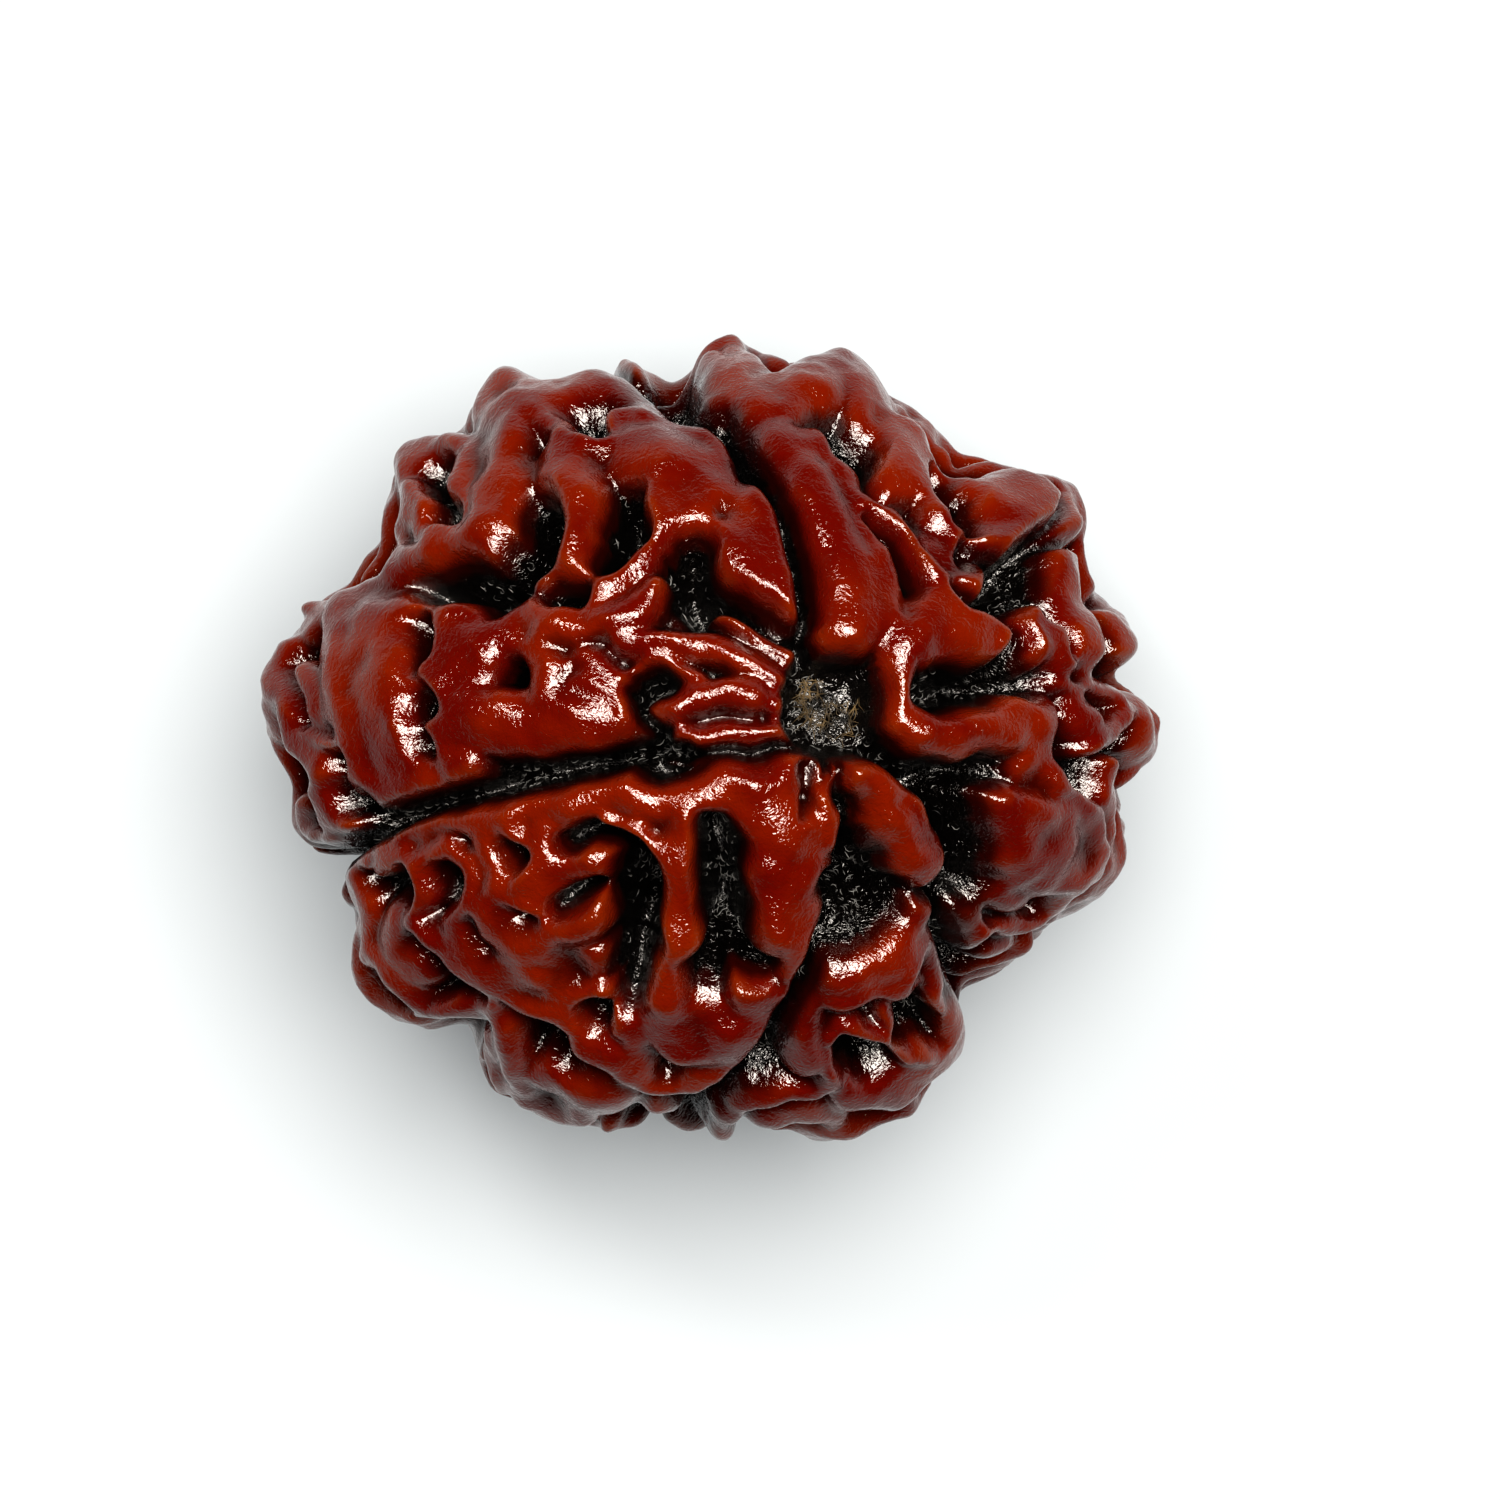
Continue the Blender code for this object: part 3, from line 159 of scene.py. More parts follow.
# Ridges of the upper side: half width, height of the crest, and points
UPPER_LEFT_RIDGES = [
    (0.40, 0.05, [(-9.4, 3.5), (-9.45, 2.5), (-9.4, 1.3), (-9.15, 0.5), (-9.1, -0.3), (-8.95, -0.9),
                  (-8.5, -1.2), (-7.8, -1.2), (-7.0, -1.0), (-6.3, -0.65)]),
    (0.95, 0.0, [(-8.5, 3.0), (-8.55, 2.2), (-8.4, 1.3), (-8.3, 0.4), (-8.0, -0.4)]),
    (0.40, 0.0, [(-9.3, 3.7), (-8.8, 4.1), (-8.2, 4.5), (-7.5, 4.75), (-6.8, 4.95), (-6.1, 5.3),
                 (-5.6, 5.7)]),
    (0.60, 0.0, [(-5.6, 5.5), (-5.4, 6.6), (-5.4, 7.5), (-5.0, 8.3), (-4.3, 8.7)]),
    (0.35, -0.1, [(-8.0, 4.8), (-6.9, 5.15), (-6.45, 5.9), (-6.4, 6.5), (-6.4, 7.1), (-6.1, 7.8),
                  (-5.3, 8.4), (-4.5, 8.95)]),
    (0.40, 0.0, [(-5.9, 8.4), (-5.7, 9.1), (-5.2, 9.4), (-4.6, 9.1)]),
    (0.35, 0.0, [(-6.5, 7.75), (-7.2, 7.55), (-7.75, 7.1), (-7.75, 6.4), (-7.6, 6.0), (-7.3, 5.55),
                 (-7.0, 5.4)]),
    (0.42, -0.1, [(-7.65, 6.2), (-7.5, 5.9)]),
    (0.34, -0.1, [(-8.0, 5.6), (-8.1, 5.0)]),
    (0.30, -0.05, [(-8.5, 3.4), (-8.0, 3.5), (-7.3, 3.55), (-6.7, 3.6)]),
    (0.38, 0.05, [(-6.0, 3.4), (-6.5, 3.4), (-6.8, 3.1), (-6.95, 2.6), (-7.1, 2.1), (-7.15, 1.7),
                  (-6.9, 1.2), (-6.75, 0.8), (-6.8, 0.3), (-6.8, -0.1), (-6.5, -0.5), (-6.2, -0.6)]),
    (0.26, -0.2, [(-8.0, 1.7), (-7.2, 1.75)]),
    (0.26, -0.15, [(-7.9, 0.4), (-7.0, 0.45)]),
    (0.60, -0.15, [(-7.9, -0.6), (-7.3, -0.6)]),
    (0.28, 0.1, [(-10.7, 2.5), (-10.75, 1.9), (-10.7, 1.3), (-10.55, 0.7), (-10.45, 0.0),
                 (-10.0, -0.5), (-9.8, -0.8), (-9.9, -1.3), (-9.8, -1.9), (-9.3, -2.1)]),
    (0.22, 0.0, [(-10.3, 0.2), (-9.9, 0.05), (-9.4, -0.05), (-9.15, -0.2)]),
    (0.40, -0.2, [(-10.2, 2.9), (-9.8, 3.5)]),
    (0.30, 0.0, [(-10.5, -1.5), (-10.4, -2.2), (-10.0, -2.4), (-9.6, -2.5)]),
    (0.30, 0.0, [(-11.1, 1.6), (-11.1, 0.9), (-10.9, 0.2)]),
    (0.30, -0.1, [(-10.2, 1.9), (-10.0, 1.2), (-9.9, 0.6)]),
    (0.65, 0.05, [(-6.3, 2.5), (-6.1, 2.2), (-6.3, 1.6)]),
    (0.50, 0.0, [(-6.1, 2.9), (-5.4, 2.9), (-4.9, 2.8)]),
    (0.55, 0.05, [(-6.3, 1.0), (-6.2, 0.3), (-5.3, 0.25), (-4.3, 0.35), (-3.3, 0.5), (-2.4, 0.45)]),
    (0.45, 0.0, [(-5.9, 0.9), (-5.0, 0.9), (-4.0, 1.0), (-3.1, 1.05)]),
    (0.22, 0.0, [(-3.4, 1.6), (-2.9, 1.5), (-2.4, 1.1), (-2.1, 0.7)]),
    (0.42, 0.05, [(-4.4, 2.5), (-4.1, 1.9), (-4.2, 1.3)]),
    (0.36, 0.0, [(-3.4, 2.2), (-2.8, 1.85), (-2.35, 1.65)]),
    (0.36, 0.1, [(-1.5, 3.9), (-1.9, 3.4), (-2.8, 3.05), (-3.7, 2.95), (-4.2, 2.8)]),
    (0.42, -0.05, [(-1.6, 6.2), (-1.6, 5.4), (-1.8, 4.9), (-2.3, 4.4), (-2.8, 3.9), (-3.6, 3.4),
                   (-4.3, 3.3), (-4.9, 3.5)]),
    (0.72, 0.05, [(-3.7, 7.0), (-3.55, 6.2)]),
    (0.50, 0.05, [(-3.6, 6.2), (-3.5, 5.4), (-3.5, 4.6)]),
    (0.30, -0.15, [(-3.7, 4.6), (-4.3, 4.4), (-4.9, 4.0)]),
    (0.55, 0.0, [(-4.3, 8.9), (-3.6, 9.1), (-2.8, 9.2), (-2.0, 9.1), (-1.6, 8.8), (-1.4, 8.5)]),
    (0.28, 0.0, [(-4.2, 8.3), (-3.9, 8.0), (-3.8, 7.7), (-3.4, 7.5), (-2.9, 7.5), (-2.7, 7.7),
                 (-2.6, 8.0), (-2.3, 8.3), (-2.0, 8.4), (-1.4, 8.2), (-0.9, 8.2), (-0.1, 8.0),
                 (0.2, 7.7)]),
    (0.85, 0.1, [(-1.3, 7.3), (-0.9, 6.7), (-0.9, 6.0)]),
    (0.70, 0.05, [(-1.9, 7.4), (-0.9, 7.4), (-0.1, 7.1), (0.0, 6.6)]),
    (0.20, -0.2, [(-0.9, 8.5), (-0.5, 8.75), (-0.1, 8.55)]),
    (0.55, 0.15, [(1.3, 6.2), (1.1, 5.6), (0.9, 5.1), (1.3, 4.6), (1.7, 4.2)]),
    (0.50, 0.1, [(0.2, 5.1), (0.5, 4.7), (1.0, 4.4), (1.6, 3.9), (2.0, 3.4)]),
    (0.40, 0.0, [(1.5, 5.9), (1.7, 5.2), (1.9, 4.4), (2.05, 3.6)]),
    (0.22, -0.25, [(0.2, 3.35), (0.9, 3.0), (1.5, 2.5), (1.9, 2.2)]),
    (0.34, -0.05, [(-2.4, 2.7), (-1.4, 2.6), (-0.6, 2.6), (0.4, 2.4), (1.1, 2.0), (1.6, 1.6)]),
    (0.22, -0.05, [(-1.8, 1.9), (-1.6, 2.15), (-1.2, 2.15), (-0.8, 2.0), (-0.4, 1.75)]),
    (0.40, 0.1, [(-0.9, 0.9), (-0.5, 1.1), (0.2, 1.25), (0.9, 1.2)]),
    (0.24, -0.05, [(-1.4, 0.7), (-0.9, 0.8)]),
    (0.24, 0.0, [(0.9, 1.2), (1.4, 1.1), (1.7, 1.0)]),
]
UPPER_RIGHT_RIDGES = [
    (0.50, 0.1, [(1.6, 7.8), (2.2, 7.1), (2.7, 6.2)]),
    (0.64, 0.18, [(2.6, 6.3), (3.05, 5.2), (3.35, 4.2), (3.5, 3.4), (3.45, 3.0)]),
    (0.30, 0.0, [(1.7, 7.9), (2.5, 7.7), (3.0, 7.4), (3.35, 6.8), (3.6, 6.2), (3.9, 5.4),
                 (4.2, 4.8)]),
    (0.50, 0.0, [(4.1, 4.5), (4.3, 3.8), (4.3, 3.3)]),
    (0.45, 0.0, [(0.0, 9.6), (0.2, 9.0)]),
    (0.34, 0.0, [(0.7, 9.5), (0.7, 8.9)]),
    (0.30, 0.0, [(0.6, 9.9), (1.2, 9.5)]),
    (0.68, 0.15, [(1.4, 8.75), (2.2, 9.1), (3.2, 9.25), (3.9, 8.9), (4.1, 8.5)]),
    (0.66, 0.2, [(4.9, 7.55), (4.85, 6.85)]),
    (0.26, 0.0, [(4.3, 8.2), (4.9, 7.95), (5.2, 7.7), (5.5, 7.3), (5.55, 6.8), (5.5, 6.2),
                 (5.7, 5.9), (6.1, 5.6), (6.3, 5.3)]),
    (0.28, 0.05, [(3.9, 6.0), (4.3, 5.8), (4.7, 5.4), (5.0, 5.1), (5.2, 4.6), (5.5, 4.3),
                  (5.9, 4.05), (6.4, 3.5), (6.7, 3.2), (7.1, 3.0), (7.4, 2.8), (7.55, 2.5),
                  (7.3, 2.15)]),
    (0.50, -0.3, [(5.6, 5.2), (6.1, 4.8)]),
    (0.70, 0.25, [(7.5, 6.25), (7.95, 6.05)]),
    (0.26, 0.05, [(6.6, 6.1), (7.2, 6.5), (7.9, 6.7), (8.3, 6.4), (8.35, 5.9), (8.1, 5.5),
                  (7.5, 5.1)]),
    (0.45, -0.1, [(6.8, 5.2), (7.4, 5.4)]),
    (0.42, -0.1, [(6.5, 4.1), (6.9, 4.1)]),
    (0.30, 0.0, [(5.7, 7.0), (6.2, 6.7), (6.6, 6.5), (7.1, 6.6), (7.6, 6.7)]),
    (0.50, 0.0, [(8.9, 6.1), (8.9, 5.5)]),
    (0.42, 0.05, [(9.0, 4.9), (9.1, 4.3), (9.2, 3.7), (9.3, 3.0), (9.4, 2.4)]),
    (0.50, 0.05, [(7.9, 2.9), (8.1, 2.5)]),
    (0.28, 0.05, [(8.1, 3.4), (8.4, 3.1), (8.6, 2.7), (8.9, 2.1)]),
    (0.34, 0.0, [(10.1, 3.2), (10.5, 2.7), (10.4, 2.3)]),
    (0.46, 0.05, [(4.9, 2.6), (5.8, 2.75), (6.6, 2.7), (7.2, 2.6)]),
    (0.55, 0.05, [(5.9, 3.6), (5.6, 3.2), (6.3, 3.1)]),
]
RIGHT_RIDGES = [
    (0.34, 0.1, [(5.2, 2.4), (4.8, 2.3), (4.75, 1.8), (4.75, 1.2), (4.85, 0.6), (5.2, 0.3)]),
    (0.55, 0.1, [(5.3, 0.3), (6.2, 0.25), (7.2, 0.45), (8.0, 0.5)]),
    (0.45, 0.0, [(7.8, 0.9), (8.3, 0.8), (8.2, 0.0), (8.2, -0.5)]),
    (0.28, 0.0, [(9.6, 1.7), (10.2, 1.3), (10.4, 0.9), (10.1, 0.5), (9.8, 0.1), (9.5, -0.05)]),
    (0.40, -0.1, [(9.3, 1.0), (9.5, 0.6)]),
    (0.36, 0.0, [(10.7, 1.0), (10.9, 0.4), (10.7, -0.1)]),
    (0.28, -0.1, [(8.9, 1.5), (9.4, 1.45)]),
    (0.90, 0.05, [(8.1, -2.2), (8.8, -2.3), (8.5, -2.8)]),
    (0.55, 0.0, [(7.4, -1.6), (7.9, -2.6), (7.6, -3.2)]),
    (0.32, 0.1, [(8.6, -0.8), (9.0, -1.2), (9.4, -1.6), (9.6, -2.1), (9.65, -2.6), (9.4, -3.1),
                 (9.0, -3.4), (8.3, -3.55)]),
    (0.34, 0.1, [(7.3, -1.3), (7.6, -1.5), (8.2, -1.7), (8.8, -1.8)]),
    (0.28, -0.1, [(10.1, -1.3), (10.15, -2.0), (10.1, -2.8), (9.9, -3.5), (9.2, -4.0), (8.8, -4.3)]),
    (0.30, -0.1, [(10.2, -0.6), (10.1, -1.4)]),
    (0.26, 0.0, [(6.5, -5.5), (6.8, -5.2), (7.0, -4.9), (7.8, -4.7), (8.4, -4.5), (8.7, -4.2),
                 (8.9, -3.8)]),
    (0.45, -0.2, [(6.8, -4.3), (6.7, -4.8)]),
    (0.35, 0.0, [(7.3, -5.5), (7.8, -5.2)]),
    (0.30, -0.2, [(7.3, -3.9), (8.0, -4.1)]),
]
LOWER_RIGHT_RIDGES = [
    (0.40, 0.05, [(3.6, -0.75), (4.2, -0.9), (4.6, -1.2)]),
    (0.56, 0.05, [(4.5, -1.3), (4.8, -1.9), (5.05, -2.4), (5.25, -3.0)]),
    (0.40, -0.35, [(3.7, -1.0), (3.85, -1.7), (4.0, -2.4)]),
    (0.24, -0.05, [(5.2, -1.4), (5.6, -2.0), (6.0, -2.5), (5.8, -3.1), (5.4, -3.5)]),
    (0.42, 0.0, [(2.95, -6.05), (3.6, -5.95), (4.5, -5.6), (5.1, -5.0), (5.4, -4.4)]),
    (0.26, 0.0, [(3.1, -6.6), (4.1, -6.3), (4.8, -6.0), (5.3, -5.3), (5.7, -4.8)]),
    (0.40, 0.0, [(5.9, -5.2), (5.8, -6.1)]),
    (0.26, 0.0, [(5.9, -4.9), (6.3, -5.7), (6.4, -6.2)]),
    (0.26, 0.0, [(5.0, -6.15), (5.6, -6.6), (6.3, -6.75)]),
    (0.22, -0.1, [(4.8, -6.2), (4.6, -6.7), (4.4, -7.2)]),
    (0.22, 0.0, [(3.1, -7.5), (3.3, -7.1), (3.7, -7.15), (4.2, -7.35), (4.6, -7.5), (4.9, -7.9),
                 (5.4, -7.7)]),
    (0.50, 0.05, [(3.6, -8.8), (4.6, -8.7), (5.4, -8.1), (6.1, -7.5), (6.2, -7.0)]),
    (0.48, 0.0, [(2.4, -6.7), (2.35, -7.4), (2.35, -8.1)]),
    (0.24, 0.0, [(0.5, -9.6), (0.6, -9.3), (1.0, -9.1), (1.9, -8.9), (2.7, -8.8), (3.0, -8.5),
                 (3.1, -8.0), (3.15, -7.5)]),
    (0.35, 0.0, [(1.2, -9.6), (2.2, -9.4), (3.2, -9.4)]),
]
LOWER_LEFT_RIDGES = [
    (0.45, 0.05, [(-5.2, -1.6), (-4.2, -1.45), (-3.2, -1.35), (-2.2, -1.15), (-1.4, -1.5),
                  (-0.6, -1.3), (0.4, -1.05), (1.4, -0.95), (2.1, -0.85)]),
    (0.30, 0.05, [(-0.7, 0.2), (0.1, 0.2), (1.0, 0.25), (1.8, 0.35)]),
    (0.34, -0.4, [(-0.8, -0.2), (0.0, -0.25), (1.0, -0.25), (2.0, -0.2)]),
    (0.40, 0.1, [(-0.7, -1.9), (-0.8, -3.0), (-0.8, -4.0), (-0.75, -4.8), (-0.9, -5.5),
                 (-1.15, -6.2)]),
    (0.26, -0.05, [(-2.7, -1.9), (-1.9, -2.1), (-1.4, -2.5), (-1.25, -3.0), (-1.35, -3.5),
                   (-1.15, -3.9), (-1.1, -4.6), (-1.1, -5.3), (-1.4, -5.8), (-1.6, -6.4)]),
    (0.60, 0.1, [(1.0, -1.5), (1.7, -1.8), (2.2, -2.3)]),
    (0.85, 0.15, [(1.7, -2.4), (2.1, -3.3), (2.0, -4.2), (2.0, -4.8)]),
    (0.40, 0.05, [(2.0, -4.9), (2.15, -5.4), (2.25, -5.8)]),
    (0.28, 0.05, [(2.85, -1.2), (2.95, -1.8), (3.0, -2.4)]),
    (0.52, 0.1, [(-1.3, -6.4), (-1.2, -7.1), (-0.6, -7.7), (0.2, -7.75), (0.9, -7.2),
                 (1.25, -6.5)]),
    (0.60, -0.05, [(-0.6, -6.9), (0.1, -7.0)]),
    (0.28, 0.05, [(0.6, -6.1), (1.1, -6.3), (1.5, -6.2)]),
    (0.34, 0.1, [(-8.4, -3.0), (-7.9, -2.9), (-7.5, -3.1), (-7.35, -3.6), (-7.5, -4.2),
                 (-7.4, -4.6), (-7.0, -4.8), (-6.6, -5.1), (-6.3, -5.5), (-5.9, -5.9),
                 (-5.3, -6.1), (-4.4, -6.6), (-3.8, -6.8), (-3.5, -7.2), (-3.2, -7.5),
                 (-2.7, -7.7), (-2.3, -8.1), (-1.6, -8.6), (-1.0, -8.75), (-0.5, -8.65),
                 (0.5, -8.35), (1.0, -7.95), (1.4, -7.4), (2.0, -6.5)]),
    (0.32, 0.05, [(-9.2, -2.9), (-8.5, -2.55), (-7.8, -2.3), (-7.0, -2.0), (-6.2, -1.85),
                  (-5.2, -1.7)]),
    (0.32, 0.05, [(-9.4, -3.1), (-9.3, -3.5), (-9.0, -4.0), (-8.8, -4.6), (-8.6, -5.1),
                  (-8.2, -5.5), (-7.8, -5.9), (-7.5, -6.2), (-7.2, -6.6), (-6.7, -6.75),
                  (-6.1, -6.7), (-5.6, -6.5)]),
    (0.30, 0.05, [(-7.3, -2.8), (-6.8, -2.65), (-6.3, -2.9), (-6.1, -3.4), (-6.15, -3.9),
                  (-6.5, -4.3), (-6.3, -4.9), (-5.8, -5.5), (-5.2, -5.75), (-4.4, -5.8)]),
    (0.24, 0.0, [(-5.5, -1.9), (-5.0, -2.2), (-4.7, -2.6), (-4.65, -3.0), (-4.8, -3.5)]),
    (0.45, 0.05, [(-5.7, -2.2), (-5.7, -2.8), (-5.4, -3.3)]),
    (0.24, 0.0, [(-5.4, -3.5), (-5.0, -3.8), (-4.6, -4.0), (-4.3, -4.1)]),
    (0.50, 0.0, [(-4.2, -2.2), (-4.25, -3.0), (-4.25, -3.6)]),
    (0.55, -0.1, [(-4.0, -3.0), (-3.3, -2.95), (-2.7, -3.0)]),
    (0.45, 0.1, [(-5.6, -4.0), (-5.4, -4.6), (-4.9, -5.0), (-4.3, -4.9), (-3.8, -4.6),
                 (-3.3, -4.4), (-2.9, -4.2)]),
    (0.55, -0.3, [(-3.6, -5.3), (-3.1, -5.5)]),
    (0.24, -0.05, [(-3.6, -6.5), (-3.3, -6.2), (-2.9, -6.15), (-2.45, -6.45), (-2.3, -6.9),
                   (-2.4, -7.2)]),
    (0.36, -0.05, [(-2.0, -7.0), (-2.0, -7.7), (-1.7, -8.2)]),
    (0.50, -0.05, [(-5.0, -5.4), (-4.2, -5.6), (-3.9, -6.1)]),
    (0.50, -0.05, [(-8.1, -4.6), (-7.9, -5.1), (-7.3, -5.6)]),
    (0.26, 0.0, [(-9.6, -3.4), (-9.1, -4.3), (-9.0, -5.0)]),
    (0.32, 0.0, [(-9.0, -5.2), (-8.9, -5.9), (-8.5, -6.5), (-8.0, -6.8), (-7.3, -6.95)]),
    (0.36, 0.05, [(-5.6, -6.8), (-5.3, -7.2), (-5.1, -7.8), (-4.9, -8.4), (-4.6, -8.8),
                  (-4.1, -9.1), (-3.2, -9.3)]),
    (0.60, 0.0, [(-4.0, -8.4), (-3.4, -8.8), (-2.6, -9.0)]),
    (0.26, -0.05, [(-5.75, -7.4), (-5.6, -8.0), (-5.3, -8.6)]),
    (0.30, 0.0, [(-1.5, -9.3), (-1.0, -9.5)]),
    (0.35, 0.0, [(0.2, -9.6), (0.1, -9.9)]),
]

# Pits and dark valleys of the upper side: half width, depth, and points
PITS = [
    (0.35, 0.9, [(-6.8, 5.9)]),
    (0.42, 1.2, [(-7.2, 4.1), (-6.4, 4.15), (-5.7, 4.05), (-5.1, 3.9)]),
    (0.42, 1.2, [(-5.0, 4.6), (-4.5, 4.9), (-4.3, 5.4), (-4.4, 6.0)]),
    (0.38, 1.0, [(-7.35, 2.45)]),
    (0.34, 0.8, [(-7.25, 0.95)]),
    (0.26, 0.3, [(-7.4, 0.0)]),
    (0.26, 0.6, [(-9.4, -0.4)]),
    (0.21, 0.9, [(-5.1, 1.75)]),
    (0.25, 0.8, [(-2.9, 7.95)]),
    (0.34, 1.1, [(-2.1, 6.3), (-2.1, 5.7), (-2.1, 5.3), (-2.5, 4.9), (-2.8, 4.7)]),
    (0.26, 0.7, [(-4.0, 3.85), (-3.4, 3.85)]),
    (0.40, 1.0, [(-0.4, 5.0), (-0.4, 4.4), (-0.3, 3.8)]),
    (0.30, 0.5, [(0.0, 3.7), (0.7, 3.7), (1.5, 3.2), (2.1, 2.9)]),
    (0.36, 0.8, [(-1.6, 1.5), (-1.2, 1.5)]),
    (0.42, 1.2, [(3.5, 7.6), (3.85, 7.4)]),
    (0.32, 1.2, [(6.0, 6.6), (6.35, 6.2), (6.5, 5.6)]),
    (0.17, 0.7, [(8.5, 6.3), (8.5, 5.8), (8.3, 5.3)]),
    (0.16, 0.6, [(8.5, 5.1), (9.0, 5.0), (9.4, 5.05)]),
    (0.15, 0.5, [(6.5, 4.95), (6.9, 4.9), (7.3, 4.8)]),
    (0.15, 0.6, [(6.2, 4.0), (6.6, 3.6), (6.9, 3.4)]),
    (0.18, 0.8, [(7.5, 3.3), (7.75, 2.8), (7.75, 2.2)]),
    (0.15, 0.6, [(8.5, 3.4), (8.8, 2.9), (9.0, 2.4)]),
    (0.15, 0.6, [(4.1, 5.6), (4.6, 5.2), (4.9, 4.7), (5.0, 4.2)]),
    (0.15, 0.6, [(5.7, 6.9), (5.75, 6.4), (6.1, 6.0)]),
    (0.20, 0.35, [(-7.5, 3.2), (-7.45, 2.5), (-7.5, 1.9)]),
    (0.20, 0.35, [(-7.45, 1.3), (-7.4, 0.7), (-7.5, 0.1)]),
    (0.42, 1.2, [(8.2, 4.8), (7.9, 4.4), (7.6, 4.0), (7.4, 3.6)]),
    (0.42, 1.1, [(5.9, 1.3), (6.6, 1.5), (7.3, 1.65), (7.8, 1.75)]),
    (0.30, 0.5, [(8.9, -0.2), (9.3, -0.8)]),
    (0.36, 0.8, [(5.8, -0.9), (6.4, -0.9), (7.0, -0.8)]),
    (0.55, 0.8, [(6.5, -1.8), (6.8, -2.6), (6.8, -3.4)]),
    (0.42, 1.3, [(0.1, -2.3), (0.2, -3.0), (0.3, -3.8), (0.4, -4.6), (0.4, -5.2), (0.1, -5.7)]),
    (0.28, 0.7, [(0.9, -5.6), (1.4, -5.7)]),
    (0.50, 1.4, [(3.5, -3.7), (4.0, -4.0), (4.5, -4.1)]),
    (0.44, 1.1, [(5.15, -6.75), (5.1, -7.1)]),
    (0.44, 1.1, [(3.6, -7.85), (4.0, -8.05)]),
    (0.20, 0.8, [(-3.6, -2.4), (-3.0, -2.25), (-2.4, -2.3), (-1.9, -2.6)]),
    (0.46, 1.3, [(-1.9, -3.1), (-1.85, -4.0), (-1.85, -4.8)]),
    (0.34, 0.9, [(-2.0, -5.1), (-2.05, -5.8), (-2.1, -6.3)]),
    (0.20, 0.7, [(-3.9, -4.05), (-3.4, -3.85), (-2.9, -3.65)]),
    (0.28, 0.9, [(-7.8, -3.4), (-7.9, -3.6)]),
    (0.42, 0.5, [(-6.7, -3.5)]),
    (0.28, 0.7, [(-4.95, -2.7)]),
    (0.38, 0.5, [(-2.9, -6.8)]),
    (0.32, 0.4, [(-7.5, -5.0), (-6.9, -5.6), (-6.1, -6.2)]),
    (0.30, 0.4, [(-8.3, -5.8), (-7.7, -6.4)]),
    (0.36, 0.7, [(-4.4, -7.1), (-4.0, -7.5), (-3.6, -7.9)]),
    (0.28, 0.5, [(0.1, -8.9), (-0.5, -9.2)]),
    (0.15, 0.4, [(-1.5, 0.3), (-1.8, 0.9), (-2.1, 1.3)]),
    (0.13, 0.4, [(2.45, -0.6), (2.45, -1.2), (2.25, -1.8)]),
    (0.13, 0.45, [(-0.6, -0.2), (0.2, -0.25), (1.2, -0.2), (2.2, -0.15)]),
    (0.14, 0.5, [(3.35, -0.7), (3.45, -1.4), (3.6, -2.2)]),
    (0.13, 0.4, [(2.5, 2.2), (2.45, 3.0)]),
]

# The square hollow at the stalk end
STALK_HOLLOW = [(2.9, 0.7), (3.5, 0.7), (3.55, 1.25), (2.95, 1.35), (2.9, 0.7)]
STALK_HOLLOW_REACH = 0.92
STALK_HOLLOW_DEPTH = 1.7

# The same end on the hidden side, a plain round hollow
FAR_HOLLOW_REACH = 0.9
FAR_HOLLOW_DEPTH = 1.3

# Height where the drawn side gives way to the hidden side, and how softly
RIM_TOP = 2.6
RIM_BAND = 2.2

# How wide the slope beside a cleft is, and how wide the clefts of the hidden side are
CLEFT_SLOPE_REACH = 1.3
LOWER_CLEFT_HALF_WIDTH = 0.3


def smooth_round(values, reach):
    """Average a closed ring of values over a number of neighbours on each side."""
    steps = range(-reach, reach + 1)
    weights = [math.exp(-2.0 * (step / (reach + 1)) ** 2) for step in steps]
    total = sum(weight * np.roll(values, step) for weight, step in zip(weights, steps))
    return total / sum(weights)


def outline_tables():
    """Radius of the bead's outline every half degree, as drawn and evened out."""
    azimuths = np.array([math.atan2(y, x) for x, y in OUTLINE])
    radii = np.array([math.hypot(x, y) for x, y in OUTLINE])
    ring = np.radians(np.arange(0.0, 360.0, 0.5))
    drawn = np.interp(ring, azimuths, radii, period=2 * math.pi)
    return ring, smooth_round(drawn, 3), smooth_round(drawn, 40)


RING, DRAWN_RADIUS, EVEN_RADIUS = outline_tables()


def unit(vectors):
    """Scale vectors to length one."""
    return vectors / np.linalg.norm(vectors, axis=-1, keepdims=True)


def crest_points(directions, radii):
    """Points of the rounded body with this outline, in the given directions."""
    azimuths = np.arctan2(directions[:, 1], directions[:, 0])
    outline = np.interp(azimuths, RING, radii, period=2 * math.pi)
    flat = np.hypot(directions[:, 0], directions[:, 1])
    reach = 1.0 / np.sqrt((flat / outline) ** 2 + (directions[:, 2] / HALF_HEIGHT) ** 2)
    return directions * reach[:, None]


def on_upper_side(points):
    """Lay points drawn in plan view on the upper half of the crest surface."""
    plan = np.array(points, dtype=float)
    azimuths = np.arctan2(plan[:, 1], plan[:, 0])
    outline = np.interp(azimuths, RING, EVEN_RADIUS, period=2 * math.pi)
    share = np.hypot(plan[:, 0], plan[:, 1]) / outline
    inside = np.minimum(share, 0.995)
    plan *= (inside / np.maximum(share, 1e-6))[:, None]
    height = HALF_HEIGHT * np.sqrt(1.0 - inside**2)
    return np.column_stack([plan, height])


def as_seen(points):
    """Points with their height differences lessened, as strokes are measured."""
    return points * np.array([1.0, 1.0, STEEPNESS_SHARE])


